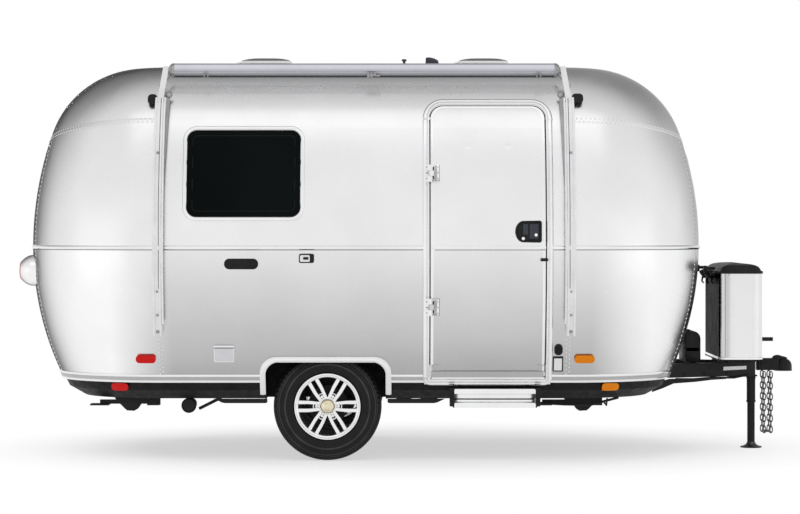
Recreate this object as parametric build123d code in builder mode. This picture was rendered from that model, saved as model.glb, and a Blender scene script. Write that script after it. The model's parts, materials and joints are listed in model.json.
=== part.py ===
from build123d import *
import math
import os

os.makedirs("parts", exist_ok=True)

# A single-axle travel caravan with a rounded aluminium body, in millimetres.
# +X points forward to the coupler, +Y to the left, +Z up, and the ground is at Z = 0.
# RIGHT is the kerb side, which carries the door.
LEFT = 1
RIGHT = -1
SIDES = (LEFT, RIGHT)
FRONT = 1
REAR = -1

# ---------------------------------------------------------------- body shape
BODY_LENGTH = 4310
BODY_WIDTH = 2420
BODY_MID_X = -297
CORNER_R = 890
BELT_Z = 1331
ROOF_Z = 2490
SHELL_LOW_Z = 505
LOWER_R = 1900
UPPER_R = 2200
SHOULDER_R = 620
ROOF_R = 2550
WALL = 40
ROOF_JOINT_Z = ROOF_Z - 365

HALF_WIDTH = BODY_WIDTH / 2
BODY_REAR_X = BODY_MID_X - BODY_LENGTH / 2
BODY_FRONT_X = BODY_MID_X + BODY_LENGTH / 2
FLAT_HALF = HALF_WIDTH - CORNER_R
REAR_SEAM_X = BODY_REAR_X + CORNER_R
FRONT_SEAM_X = BODY_FRONT_X - CORNER_R
SEAM_X = {FRONT: FRONT_SEAM_X, REAR: REAR_SEAM_X}

# ---------------------------------------------------------------- running gear
AXLE_X = BODY_MID_X - 233
TYRE_R = 338
TYRE_WIDTH = 205
BEAD_R = 208
WHEEL_Y = HALF_WIDTH - 310
HUB_R = 50
SPINDLE_R = 19
PIN_GAP = 0.5
RUNNING_GAP = 6

# ---------------------------------------------------------------- small parts and fits
MOULD_STAND = 10
MOULD_HEIGHT = 24
TRIM_STAND = 8
TRIM_HEIGHT = 37
FRAME_STAND = 6
SEAT_GAP = 0.3


def circle_crossing(first, first_r, second, second_r):
    """The crossing of two circles that lies further out and higher."""
    across = second[0] - first[0]
    up = second[1] - first[1]
    apart = math.hypot(across, up)
    along = (first_r**2 - second_r**2 + apart**2) / (2 * apart)
    aside = math.sqrt(first_r**2 - along**2)
    foot = (first[0] + along * across / apart, first[1] + along * up / apart)
    step = (aside * up / apart, aside * across / apart)
    options = ((foot[0] + step[0], foot[1] - step[1]), (foot[0] - step[0], foot[1] + step[1]))
    return max(options, key=lambda point: point[0] + point[1])


# The body's section is four arcs, tangent to one another, about these centres.
# A point is (distance out from the corner's upright axis, height).
LOWER_C = (CORNER_R - LOWER_R, BELT_Z)
UPPER_C = (CORNER_R - UPPER_R, BELT_Z)
ROOF_C = (0, ROOF_Z - ROOF_R)
SHOULDER_C = circle_crossing(UPPER_C, UPPER_R - SHOULDER_R, ROOF_C, ROOF_R - SHOULDER_R)


def heading(start, end):
    return math.atan2(end[1] - start[1], end[0] - start[0])


def on_circle(centre, radius, angle):
    return (centre[0] + radius * math.cos(angle), centre[1] + radius * math.sin(angle))


def lower_reach(z, inset):
    """How far out the lower arc lies at height z, `inset` inside the outer face."""
    return LOWER_C[0] + math.sqrt((LOWER_R - inset) ** 2 - (BELT_Z - z) ** 2)


def upper_reach(z, inset):
    """The same for the arc above the belt."""
    return UPPER_C[0] + math.sqrt((UPPER_R - inset) ** 2 - (z - BELT_Z) ** 2)


def outline_arcs(inset, low):
    """Start, middle and end of the section's four arcs, `inset` inside the outer face."""
    start = math.asin((low - BELT_Z) / (LOWER_R - inset))
    to_shoulder = heading(UPPER_C, SHOULDER_C)
    to_roof = heading(ROOF_C, SHOULDER_C)
    # centre, radius, first angle, last angle
    arcs = (
        (LOWER_C, LOWER_R, start, 0),
        (UPPER_C, UPPER_R, 0, to_shoulder),
        (SHOULDER_C, SHOULDER_R, to_shoulder, to_roof),
        (ROOF_C, ROOF_R, to_roof, math.pi / 2),
    )
    points = []
    for centre, radius, first, last in arcs:
        angles = (first, (first + last) / 2, last)
        points.append([on_circle(centre, radius - inset, angle) for angle in angles])
    return points


def wall_section(plane, outer, inner, low=SHELL_LOW_Z, high=None):
    """The wall's section between two depths inside the outer face; inner=None fills it to the axis."""
    with BuildSketch(plane) as section:
        with BuildLine():
            outside = [ThreePointArc(*points) for points in outline_arcs(outer, low)]
            if inner is None:
                Polyline(outside[-1] @ 1, (0, low), outside[0] @ 0)
            else:
                inside = [ThreePointArc(*points) for points in outline_arcs(inner, low)]
                Line(outside[0] @ 0, inside[0] @ 0)
                Line(outside[-1] @ 1, inside[-1] @ 1)
        make_face()
        if high is not None:
            with Locations((0, low)):
                Rectangle(3 * CORNER_R, high - low, align=(Align.CENTER, Align.MIN), mode=Mode.INTERSECT)
    return section.sketch


def polygon_section(plane, points):
    """A straight-sided section, from (distance out from the corner's axis, height) points."""
    with BuildSketch(plane) as section:
        with BuildLine():
            Polyline(*points, close=True)
        make_face()
    return section.sketch


def side_plane(side, x_low, x_high):
    """An upright plane across the body, looking along the side, where the section starts."""
    x = x_low if side == LEFT else x_high
    return Plane(origin=(x, side * FLAT_HALF, 0), x_dir=(0, side, 0), z_dir=(side, 0, 0))


def add_side(section, side, x_low, x_high):
    """Runs a section straight along one side."""
    extrude(section(side_plane(side, x_low, x_high)), amount=x_high - x_low)


def add_corner(section, end, side):
    """Turns a section a quarter turn about a corner's upright axis."""
    start = (end, 0, 0) if end == side else (0, side, 0)
    centre = (SEAM_X[end], side * FLAT_HALF, 0)
    plane = Plane(origin=centre, x_dir=start, z_dir=Vector(*start).cross(Vector(0, 0, 1)))
    revolve(section(plane), axis=Axis(centre, (0, 0, 1)), revolution_arc=90)


def add_end(section, end):
    """Runs a section round one end: two corners and the straight middle."""
    for side in SIDES:
        add_corner(section, end, side)
    middle = Plane(origin=(SEAM_X[end], end * FLAT_HALF, 0), x_dir=(end, 0, 0), z_dir=(0, -end, 0))
    extrude(section(middle), amount=2 * FLAT_HALF)


def ring_round_body(section):
    """A section carried all the way round the body."""
    with BuildPart() as ring:
        for end in (FRONT, REAR):
            add_end(section, end)
        for side in SIDES:
            add_side(section, side, REAR_SEAM_X, FRONT_SEAM_X)
    return ring.part


def filled_body(section, top, low):
    """The same with the middle filled, as one solid."""
    with BuildPart() as body:
        add(ring_round_body(section))
        with BuildSketch(Plane.XY.offset(low)):
            with Locations((BODY_MID_X, 0)):
                Rectangle(FRONT_SEAM_X - REAR_SEAM_X, 2 * FLAT_HALF)
        extrude(amount=top - low)
    return body.part


def side_block(side, x_low, x_high, z_low, z_high, corner):
    """A round-cornered block right through one side wall."""
    start = BODY_WIDTH / 4 if side == RIGHT else -BODY_WIDTH
    with BuildPart() as block:
        with BuildSketch(Plane.XZ.offset(start)):
            with Locations(((x_low + x_high) / 2, (z_low + z_high) / 2)):
                RectangleRounded(x_high - x_low, z_high - z_low, corner)
        extrude(amount=BODY_WIDTH * 3 / 4)
    return block.part


def end_block(end, half_width, z_low, z_high, corner):
    """A round-cornered block right through one end wall, on the centreline."""
    start = SEAM_X[end] if end == FRONT else SEAM_X[end] - BODY_WIDTH / 2
    with BuildPart() as block:
        with BuildSketch(Plane.YZ.offset(start)):
            with Locations((0, (z_low + z_high) / 2)):
                RectangleRounded(2 * half_width, z_high - z_low, corner)
        extrude(amount=BODY_WIDTH / 2)
    return block.part


def side_piece(side, outer, inner, keep, cut=None, low=SHELL_LOW_Z):
    """What lies in the block `keep` and outside `cut`, between two depths inside one side's outer face."""
    with BuildPart() as piece:
        box = keep.bounding_box()
        add_side(lambda plane: wall_section(plane, outer, inner, low), side, box.min.X, box.max.X)
        add(keep, mode=Mode.INTERSECT)
        if cut is not None:
            add(cut, mode=Mode.SUBTRACT)
    return piece.part


def end_piece(end, outer, inner, keep, cut=None):
    """The same in an end wall's straight middle."""
    with BuildPart() as piece:
        add_end(lambda plane: wall_section(plane, outer, inner), end)
        add(keep, mode=Mode.INTERSECT)
        if cut is not None:
            add(cut, mode=Mode.SUBTRACT)
    return piece.part


def corner_piece(end, side, outer, inner, keep, low):
    """The same in one rounded corner."""
    with BuildPart() as piece:
        add_corner(lambda plane: wall_section(plane, outer, inner, low), end, side)
        add(keep, mode=Mode.INTERSECT)
    return piece.part


def bar(start, end, width, height, up=(0, 0, 1)):
    """A straight bar with a rectangular section, whose `height` lies along `up`."""
    path = Vector(*end) - Vector(*start)
    with BuildPart() as piece:
        with BuildSketch(Plane(origin=start, x_dir=Vector(*up).cross(path), z_dir=path)):
            Rectangle(width, height)
        extrude(amount=path.length)
    return piece.part


def rod(start, end, radius):
    """A straight round rod."""
    path = Vector(*end) - Vector(*start)
    with BuildPart() as piece:
        with BuildSketch(Plane(origin=start, z_dir=path)):
            Circle(radius)
        extrude(amount=path.length)
    return piece.part


def block(x_low, x_high, y_low, y_high, z_low, z_high):
    """A plain box from its limits."""
    with BuildPart() as piece:
        with Locations(((x_low + x_high) / 2, (y_low + y_high) / 2, (z_low + z_high) / 2)):
            Box(x_high - x_low, y_high - y_low, z_high - z_low)
    return piece.part


def save(part, name):
    """Labels a finished piece and writes its file."""
    part.label = name
    export_step(part, f"parts/{name}.step")


# ---------------------------------------------------------------- openings in the walls
WINDOW_CORNER = 85
WINDOW_FRAME = 24
# side, rear edge, front edge, lower edge, upper edge of each side window's frame
SIDE_WINDOWS = (
    (RIGHT, REAR_SEAM_X + 144, REAR_SEAM_X + 895, BELT_Z + 165, ROOF_JOINT_Z - 42),
    (LEFT, REAR_SEAM_X + 144, REAR_SEAM_X + 895, BELT_Z + 165, ROOF_JOINT_Z - 42),
    (LEFT, FRONT_SEAM_X - 908, FRONT_SEAM_X - 328, BELT_Z + 309, ROOF_JOINT_Z - 85),
)
# end, half width, lower edge, upper edge of each end window's frame
END_WINDOWS = (
    (FRONT, FLAT_HALF - 20, BELT_Z + 149, ROOF_JOINT_Z - 165),
    (REAR, FLAT_HALF - 20, BELT_Z + 149, ROOF_JOINT_Z - 165),
)
GLASS_DEPTH = 8

DOOR_FRONT_X = FRONT_SEAM_X - 110
DOOR_REAR_X = DOOR_FRONT_X - 784
DOOR_LOW_Z = SHELL_LOW_Z - 23
DOOR_HIGH_Z = ROOF_Z - 243
DOOR_CORNER = 115
DOOR_FRAME = 32
DOOR_GAP = 10
DOOR_REBATE = 8
LATCH_STEP = 16

ARCH_REAR_X = AXLE_X - 419
ARCH_FRONT_X = AXLE_X + 399
ARCH_TOP_Z = 2 * TYRE_R - 23
ARCH_LOW_Z = 413
ARCH_BAND = 35
ARCH_CORNER = 105

VENT_HOLE_HALF = 140
# name, middle of each roof vent along X
VENTS = (("rear", BODY_MID_X - 660), ("front", BODY_MID_X + 766))

PAN_LOW_Z = SHELL_LOW_Z - 123
PAN_INSET = 12
PAN_TURN_Z = PAN_LOW_Z + 58
PAN_TURN = 100
FLOOR_THICK = 40
FLOOR_GAP = 6
WELL_THICK = 8
WELL_DEPTH = 160
WELL_TOP_CLEAR = 62


def shrink(limits, step):
    """Moves a rectangle's four edges in by `step`."""
    low, high, bottom, top = limits
    return (low + step, high - step, bottom + step, top - step)


DOOR_LIMITS = (DOOR_REAR_X, DOOR_FRONT_X, DOOR_LOW_Z, DOOR_HIGH_Z)
DOOR_HOLE = shrink(DOOR_LIMITS, DOOR_FRAME)
LEAF_LIMITS = shrink(DOOR_HOLE, DOOR_GAP)
door_outer_block = side_block(RIGHT, *DOOR_LIMITS, DOOR_CORNER)
door_hole_block = side_block(RIGHT, *DOOR_HOLE, DOOR_CORNER - DOOR_FRAME)

# The arch's blocks reach below the pan, so that only their upper corners count.
ARCH_FLOOR_Z = ARCH_LOW_Z - 2 * ARCH_CORNER


def arch_block(side, step):
    """The wheel arch's outline, moved in by `step`."""
    return side_block(
        side, ARCH_REAR_X + step, ARCH_FRONT_X - step, ARCH_FLOOR_Z, ARCH_TOP_Z - step, ARCH_CORNER - step
    )


# ---------------------------------------------------------------- shell panels
def shell_section(plane):
    return wall_section(plane, 0, WALL)


def side_panel(side):
    """One side wall up to the roof joint, with its window, door and wheel arch cut out."""
    with BuildPart() as panel:
        add_side(
            lambda plane: wall_section(plane, 0, WALL, high=ROOF_JOINT_Z), side, REAR_SEAM_X, FRONT_SEAM_X
        )
        for window_side, *limits in SIDE_WINDOWS:
            if window_side == side:
                add(side_block(side, *limits, WINDOW_CORNER), mode=Mode.SUBTRACT)
        add(arch_block(side, ARCH_BAND), mode=Mode.SUBTRACT)
        if side == RIGHT:
            add(door_outer_block, mode=Mode.SUBTRACT)
    return panel.part


save(side_panel(LEFT), "side_wall_left")
save(side_panel(RIGHT), "side_wall_right")

with BuildPart() as roof:
    for side in SIDES:
        add_side(shell_section, side, REAR_SEAM_X, FRONT_SEAM_X)
    add(block(REAR_SEAM_X, FRONT_SEAM_X, -BODY_WIDTH, BODY_WIDTH, 0, ROOF_JOINT_Z), mode=Mode.SUBTRACT)
    add(block(REAR_SEAM_X, FRONT_SEAM_X, -FLAT_HALF, FLAT_HALF, ROOF_Z - WALL, ROOF_Z))
    add(door_outer_block, mode=Mode.SUBTRACT)
    for name, x in VENTS:
        add(
            block(x - VENT_HOLE_HALF, x + VENT_HOLE_HALF, -VENT_HOLE_HALF, VENT_HOLE_HALF, 0, BODY_WIDTH * 2),
            mode=Mode.SUBTRACT,
        )
save(roof.part, "roof")


def end_shell(end):
    """One end of the body, from pan to roof, with its window cut out."""
    with BuildPart() as shell:
        add_end(shell_section, end)
        for window_end, half_width, low, high in END_WINDOWS:
            if window_end == end:
                add(end_block(end, half_width, low, high, WINDOW_CORNER), mode=Mode.SUBTRACT)
    return shell.part


save(end_shell(FRONT), "end_shell_front")
save(end_shell(REAR), "end_shell_rear")

# Solids that only shape other pieces: the outside of the body, and the room inside the walls.
body_outside = filled_body(lambda plane: wall_section(plane, 0, None), ROOF_Z, SHELL_LOW_Z)
cabin_room = filled_body(lambda plane: wall_section(plane, WALL, None, low=PAN_LOW_Z), ROOF_Z - WALL, PAN_LOW_Z)

# ---------------------------------------------------------------- windows
window_rings = []
window_panes = []
for side, *limits in SIDE_WINDOWS:
    outer = side_block(side, *limits, WINDOW_CORNER)
    inner = side_block(side, *shrink(limits, WINDOW_FRAME), WINDOW_CORNER - WINDOW_FRAME)
    window_rings.append(side_piece(side, -FRAME_STAND, WALL, outer, inner))
    window_panes.append(side_piece(side, 0, GLASS_DEPTH, inner))
for end, half_width, low, high in END_WINDOWS:
    outer = end_block(end, half_width, low, high, WINDOW_CORNER)
    inner = end_block(
        end, half_width - WINDOW_FRAME, low + WINDOW_FRAME, high - WINDOW_FRAME, WINDOW_CORNER - WINDOW_FRAME
    )
    window_rings.append(end_piece(end, -FRAME_STAND, WALL, outer, inner))
    window_panes.append(end_piece(end, 0, GLASS_DEPTH, inner))

with BuildPart() as window_frames:
    add(window_rings)
save(window_frames.part, "window_frames")

with BuildPart() as window_glass:
    add(window_panes)
save(window_glass.part, "window_glass")

# ---------------------------------------------------------------- door frame
with BuildPart() as door_frame:
    add(side_piece(RIGHT, -FRAME_STAND, WALL, door_outer_block, door_hole_block, low=PAN_LOW_Z))
save(door_frame.part, "door_frame")

# ---------------------------------------------------------------- wheel wells, arch trims
WELL_TOP_Z = 2 * TYRE_R + WELL_TOP_CLEAR
WELL_REAR_X = ARCH_REAR_X + ARCH_BAND
WELL_FRONT_X = ARCH_FRONT_X - ARCH_BAND
WELL_INNER_Y = WHEEL_Y - WELL_DEPTH


def well_blocks(side):
    """The well's outside and its hollow, open below and outwards."""
    y_in = side * WELL_INNER_Y
    y_out = side * BODY_WIDTH / 2
    y_low, y_high = min(y_in, y_out), max(y_in, y_out)
    hollow = block(WELL_REAR_X, WELL_FRONT_X, y_low, y_high, 0, WELL_TOP_Z)
    y_in -= side * WELL_THICK
    y_low, y_high = min(y_in, y_out), max(y_in, y_out)
    outside = block(
        WELL_REAR_X - WELL_THICK, WELL_FRONT_X + WELL_THICK, y_low, y_high, PAN_LOW_Z, WELL_TOP_Z + WELL_THICK
    )
    return outside, hollow


well_outsides = []
wells = []
for side in SIDES:
    outside, hollow = well_blocks(side)
    well_outsides.append(outside)
    with BuildPart() as well:
        add(outside)
        add(hollow, mode=Mode.SUBTRACT)
        add(cabin_room, mode=Mode.INTERSECT)
    wells.append(well.part)

with BuildPart() as wheel_wells:
    add(wells)
save(wheel_wells.part, "wheel_wells")

with BuildPart() as wheel_arch_trims:
    for side in SIDES:
        add(side_piece(side, -MOULD_STAND, 0, arch_block(side, 0), arch_block(side, ARCH_BAND), low=ARCH_LOW_Z))
save(wheel_arch_trims.part, "wheel_arch_trims")

# ---------------------------------------------------------------- pan, floor
pan_top = lower_reach(SHELL_LOW_Z, PAN_INSET)
pan_turn = lower_reach(PAN_TURN_Z, PAN_INSET)
PAN_POINTS = (
    (0, PAN_LOW_Z),
    (pan_turn - PAN_TURN, PAN_LOW_Z),
    (pan_turn, PAN_TURN_Z),
    (pan_top, SHELL_LOW_Z),
    (0, SHELL_LOW_Z),
)
with BuildPart() as belly_pan:
    add(filled_body(lambda plane: polygon_section(plane, PAN_POINTS), SHELL_LOW_Z, PAN_LOW_Z))
    for outside in well_outsides:
        add(outside, mode=Mode.SUBTRACT)
    add(door_frame.part, mode=Mode.SUBTRACT)
save(belly_pan.part, "belly_pan")

floor_r = lower_reach(SHELL_LOW_Z, WALL) - FLOOR_GAP
with BuildPart() as cabin_floor:
    with BuildSketch(Plane.XY.offset(SHELL_LOW_Z)):
        with Locations((BODY_MID_X, 0)):
            RectangleRounded(FRONT_SEAM_X - REAR_SEAM_X + 2 * floor_r, 2 * (FLAT_HALF + floor_r), floor_r - 1)
    extrude(amount=FLOOR_THICK)
    for outside in well_outsides:
        add(outside, mode=Mode.SUBTRACT)
save(cabin_floor.part, "floor")

# ---------------------------------------------------------------- mouldings round the body
BELT_LOW_Z = BELT_Z - MOULD_HEIGHT / 2
with BuildPart() as belt_moulding:
    add(
        ring_round_body(
            lambda plane: wall_section(plane, -MOULD_STAND, 0, low=BELT_LOW_Z, high=BELT_LOW_Z + MOULD_HEIGHT)
        )
    )
    add(door_outer_block, mode=Mode.SUBTRACT)
save(belt_moulding.part, "belt_moulding")

with BuildPart() as lower_trim:
    add(
        ring_round_body(
            lambda plane: wall_section(plane, -TRIM_STAND, 0, high=SHELL_LOW_Z + TRIM_HEIGHT)
        )
    )
    add(door_outer_block, mode=Mode.SUBTRACT)
    for side in SIDES:
        add(arch_block(side, 0), mode=Mode.SUBTRACT)
save(lower_trim.part, "lower_trim")

# ---------------------------------------------------------------- door and hinges
HINGE_X = LEAF_LIMITS[0] - DOOR_GAP / 2
HINGE_OUT = 20
HINGE_Y = -(BODY_WIDTH / 2 + HINGE_OUT)
LEAF_STRIP_OVER = 2
HINGE_BARREL_R = 10
HINGE_HEIGHT = 105
HINGE_LOW_Z = (913, 1737)
HINGE_PLATE = 8
HINGE_PLATE_WIDTH = 44
HINGE_FIXED_WIDTH = 20
KNUCKLE = HINGE_HEIGHT / 3
KNUCKLE_GAP = 1

leaf_skin_block = side_block(RIGHT, *LEAF_LIMITS, DOOR_CORNER - DOOR_FRAME - DOOR_GAP)
core_rear, core_front, core_low, core_high = shrink(LEAF_LIMITS, DOOR_REBATE / 2)
leaf_core_block = side_block(
    RIGHT, core_rear, core_front - LATCH_STEP, core_low, core_high, DOOR_CORNER - DOOR_FRAME - DOOR_GAP
)
leaf_rear, leaf_front, leaf_low, leaf_high = LEAF_LIMITS
with BuildPart() as door:
    add(side_piece(RIGHT, -FRAME_STAND, DOOR_REBATE, leaf_skin_block))
    add(side_piece(RIGHT, DOOR_REBATE, WALL, leaf_core_block))
    leaf_strip = block(leaf_rear, leaf_front, -BODY_WIDTH, 0, BELT_LOW_Z, BELT_LOW_Z + MOULD_HEIGHT)
    add(side_piece(RIGHT, -MOULD_STAND - LEAF_STRIP_OVER, -FRAME_STAND, leaf_strip))
    kick_strip = block(leaf_rear, leaf_front, -BODY_WIDTH, 0, leaf_low, leaf_low + TRIM_HEIGHT)
    add(side_piece(RIGHT, -FRAME_STAND - TRIM_STAND, -FRAME_STAND, kick_strip))
leaf_panel = door.part



def hinge_plate(x_low, x_high, low):
    """A hinge's plate, lying on the door or its frame."""
    plate = block(x_low, x_high, HINGE_Y - HINGE_BARREL_R, 0, low, low + HINGE_HEIGHT)
    return side_piece(RIGHT, -FRAME_STAND - HINGE_PLATE, -FRAME_STAND, plate)


def hinge_knuckle(x_low, x_high, low, high, seat):
    """One knuckle of a hinge, with the web that carries it off the piece `seat`."""
    with BuildPart() as knuckle:
        add(block(x_low, x_high, HINGE_Y - HINGE_BARREL_R, -BODY_WIDTH / 3, low, high))
        add(seat, mode=Mode.SUBTRACT)
        add(body_outside, mode=Mode.SUBTRACT)
        add(rod((HINGE_X, HINGE_Y, low), (HINGE_X, HINGE_Y, high), HINGE_BARREL_R))
    return knuckle.part


with BuildPart() as door_leaf:
    add(leaf_panel)
    for low in HINGE_LOW_Z:
        knuckle_low = low + KNUCKLE + KNUCKLE_GAP
        knuckle_high = low + 2 * KNUCKLE - KNUCKLE_GAP
        add(hinge_plate(HINGE_X + HINGE_BARREL_R, HINGE_X + HINGE_BARREL_R + HINGE_PLATE_WIDTH, low))
        add(hinge_knuckle(HINGE_X, HINGE_X + 2 * HINGE_BARREL_R, knuckle_low, knuckle_high, leaf_panel))
save(door_leaf.part, "door")

with BuildPart() as door_hinges:
    for low in HINGE_LOW_Z:
        add(hinge_plate(HINGE_X - HINGE_BARREL_R - HINGE_FIXED_WIDTH, HINGE_X - HINGE_BARREL_R, low))
        for knuckle_low in (low, low + 2 * KNUCKLE):
            knuckle_high = knuckle_low + KNUCKLE
            add(hinge_knuckle(HINGE_X - 2 * HINGE_BARREL_R, HINGE_X, knuckle_low, knuckle_high, door_frame.part))
save(door_hinges.part, "door_hinges")

HANDLE_LIMITS = (DOOR_FRONT_X - 226, DOOR_FRONT_X - 60, BELT_Z + 29, BELT_Z + 169)
HANDLE_CORNER = 36
HANDLE_STAND = 14
with BuildPart() as door_handle:
    add(
        side_piece(RIGHT, -FRAME_STAND - HANDLE_STAND, -FRAME_STAND, side_block(RIGHT, *HANDLE_LIMITS, HANDLE_CORNER))
    )
save(door_handle.part, "door_handle")

# ---------------------------------------------------------------- axle, hubs, wheels
AXLE_TUBE_R = 36
AXLE_TUBE_AHEAD = 130
AXLE_TUBE_Z = 340
ARM_THICK = 22
ARM_HEIGHT = 64
SEAT_HALF_LENGTH = 45
SEAT_HALF_WIDTH = 40
SEAT_INNER = 128
DRUM_R = 125
DRUM_WIDTH = 62
DRUM_CHAMFER = 10
DRUM_INNER_Y = WHEEL_Y - 125
RIM_HALF = 94
RIM_WALL = 12
RIM_WAIST = 6
TYRE_HALF = TYRE_WIDTH / 2
TREAD_HALF = 76
SIDE_R = 312
HUB_FACE = 74
CENTRE_R = 76
SPOKES = 6
SPOKE_WIDTH = 19
SPOKE_APART = 42
SPOKE_DEPTH = 26
SPOKE_DISH = 14
CAP_R = 30
CAP_STAND = 12
EDGE = 4

axle_centre = (AXLE_X, WHEEL_Y, TYRE_R)
wheel_axis = Axis(axle_centre, (0, 1, 0))
# Points of a wheel's section are (radius, distance outboard of the wheel's middle).
wheel_plane = Plane(origin=axle_centre, x_dir=(0, 0, 1), z_dir=(-1, 0, 0))
arm_y = DRUM_INNER_Y - RUNNING_GAP - ARM_THICK / 2


def turned(points):
    """A closed outline turned about the left wheel's axis."""
    with BuildPart() as piece:
        with BuildSketch(wheel_plane):
            with BuildLine():
                Polyline(*points, close=True)
            make_face()
        revolve(axis=wheel_axis)
    return piece.part


with BuildPart() as axle:
    tube_x = AXLE_X + AXLE_TUBE_AHEAD
    add(rod((tube_x, -arm_y, AXLE_TUBE_Z), (tube_x, arm_y, AXLE_TUBE_Z), AXLE_TUBE_R))
    for side in SIDES:
        y = side * arm_y
        add(bar((tube_x, y, AXLE_TUBE_Z), (AXLE_X - ARM_HEIGHT / 2, y, TYRE_R), ARM_THICK, ARM_HEIGHT))
        add(rod((AXLE_X, y, TYRE_R), (AXLE_X, side * (WHEEL_Y + HUB_FACE / 2), TYRE_R), SPINDLE_R))
        seat_y = side * (WELL_INNER_Y - SEAT_INNER)
        add(
            block(
                tube_x - SEAT_HALF_LENGTH, tube_x + SEAT_HALF_LENGTH, seat_y - SEAT_HALF_WIDTH,
                seat_y + SEAT_HALF_WIDTH, AXLE_TUBE_Z, PAN_LOW_Z,
            )
        )
save(axle.part, "axle")

spindle_tip = HUB_FACE / 2
bore_r = SPINDLE_R + PIN_GAP
HUB_POINTS = (
    (bore_r, DRUM_INNER_Y - WHEEL_Y),
    (DRUM_R, DRUM_INNER_Y - WHEEL_Y),
    (DRUM_R, DRUM_INNER_Y - WHEEL_Y + DRUM_WIDTH),
    (HUB_R, DRUM_INNER_Y - WHEEL_Y + DRUM_WIDTH + DRUM_CHAMFER),
    (HUB_R, HUB_FACE - SPOKE_DEPTH - SEAT_GAP),
    (0, HUB_FACE - SPOKE_DEPTH - SEAT_GAP),
    (0, spindle_tip + RUNNING_GAP),
    (bore_r, spindle_tip + RUNNING_GAP),
)
rim_r = BEAD_R - SEAT_GAP
RIM_POINTS = (
    (rim_r, -RIM_HALF),
    (rim_r, RIM_HALF),
    (rim_r - RIM_WALL, RIM_HALF),
    (rim_r - RIM_WALL - RIM_WAIST, 0),
    (rim_r - RIM_WALL, -RIM_HALF),
)
TYRE_POINTS = (
    (BEAD_R, -TYRE_HALF),
    (SIDE_R, -TYRE_HALF),
    (TYRE_R, -TREAD_HALF),
    (TYRE_R, TREAD_HALF),
    (SIDE_R, TYRE_HALF),
    (BEAD_R, TYRE_HALF),
)
spoke_end_r = rim_r - RIM_WALL / 2
# A spoke's side view: (distance from the axle, distance outboard of the wheel's middle).
SPOKE_POINTS = (
    (HUB_R + 1, HUB_FACE - SPOKE_DEPTH),
    (HUB_R + 1, HUB_FACE),
    (spoke_end_r, HUB_FACE - SPOKE_DISH),
    (spoke_end_r, HUB_FACE - SPOKE_DISH - SPOKE_DEPTH),
)
hub = turned(HUB_POINTS)
tyre = turned(TYRE_POINTS)
with BuildPart() as one_spoke:
    with BuildSketch(wheel_plane.offset(-SPOKE_WIDTH / 2)):
        with BuildLine():
            Polyline(*SPOKE_POINTS, close=True)
        make_face()
    extrude(amount=SPOKE_WIDTH)
with BuildPart() as rim_build:
    add(turned(RIM_POINTS))
    add(
        turned(
            (
                (0, HUB_FACE - SPOKE_DEPTH), (CENTRE_R, HUB_FACE - SPOKE_DEPTH), (CENTRE_R, HUB_FACE - EDGE),
                (CENTRE_R - 2 * EDGE, HUB_FACE), (CAP_R, HUB_FACE), (CAP_R - EDGE, HUB_FACE + CAP_STAND),
                (0, HUB_FACE + CAP_STAND),
            )
        )
    )
    for count in range(SPOKES):
        for shift in (-SPOKE_APART / 2, SPOKE_APART / 2):
            spoke = one_spoke.part.translate((shift, 0, 0))
            add(spoke.rotate(wheel_axis, count * 360 / SPOKES))
rim = rim_build.part
for name, piece in (("hub", hub), ("tyre", tyre), ("rim", rim)):
    save(piece, f"{name}_left")
    save(piece.mirror(Plane.XZ), f"{name}_right")

# ---------------------------------------------------------------- drawbar, coupler
RAIL_WIDTH = 50
RAIL_HEIGHT = 90
RAIL_LOW_Z = 480
RAIL_ANGLE = 25
RAIL_START_X = BODY_FRONT_X - 358
DRAWBAR_TIP_X = BODY_FRONT_X + 392
DRAWBAR_TIP_Y = 62
GUSSET_THICK = 8
GUSSET_REAR_X = BODY_FRONT_X + 222
COUPLER_REAR_X = BODY_FRONT_X + 424
COUPLER_LENGTH = 236
COUPLER_HALF = 48
COUPLER_LOW_Z = 508
COUPLER_TOP_Z = 589
COUPLER_WALL = 8
BALL_R = 25.4
BALL_GAP = 0.4
BALL_FROM_NOSE = 60
BALL_Z = 530
LATCH_TOP_Z = 612
LATCH_HALF = 22
LATCH_LAP = 20
LATCH_REACH = 12
JACK_X = BODY_FRONT_X + 388
JACK_TUBE_R = 28.5
JACK_TUBE_WALL = 2.5
JACK_TUBE_LOW_Z = 300
JACK_TUBE_TOP_Z = 772
JACK_LEG_R = 25
JACK_LEG_TOP_Z = 500
JACK_FOOT_R = 70
JACK_FOOT_THICK = 8
CRANK_Z = 716
CRANK_REACH = 144
CRANK_R = 7
GRIP_LENGTH = 74
GRIP_R = 13

rail_top_z = RAIL_LOW_Z + RAIL_HEIGHT
rail_mid_z = RAIL_LOW_Z + RAIL_HEIGHT / 2
rail_slope = math.tan(math.radians(RAIL_ANGLE))


def rail_y(x):
    """How far out a drawbar rail's centre line lies."""
    return DRAWBAR_TIP_Y + (DRAWBAR_TIP_X - x) * rail_slope


TRAY_REAR_X = BODY_FRONT_X + 130
TRAY_FRONT_X = BODY_FRONT_X + 354
TRAY_HALF = 400
TRAY_Z = 590
COVER_LOW_Z = 602
POST = 40
BATTERY_X = BODY_FRONT_X - 18
CROSS_HALF = 20
CROSS_RISE = 20
BATTERY_LENGTH = 100

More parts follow.
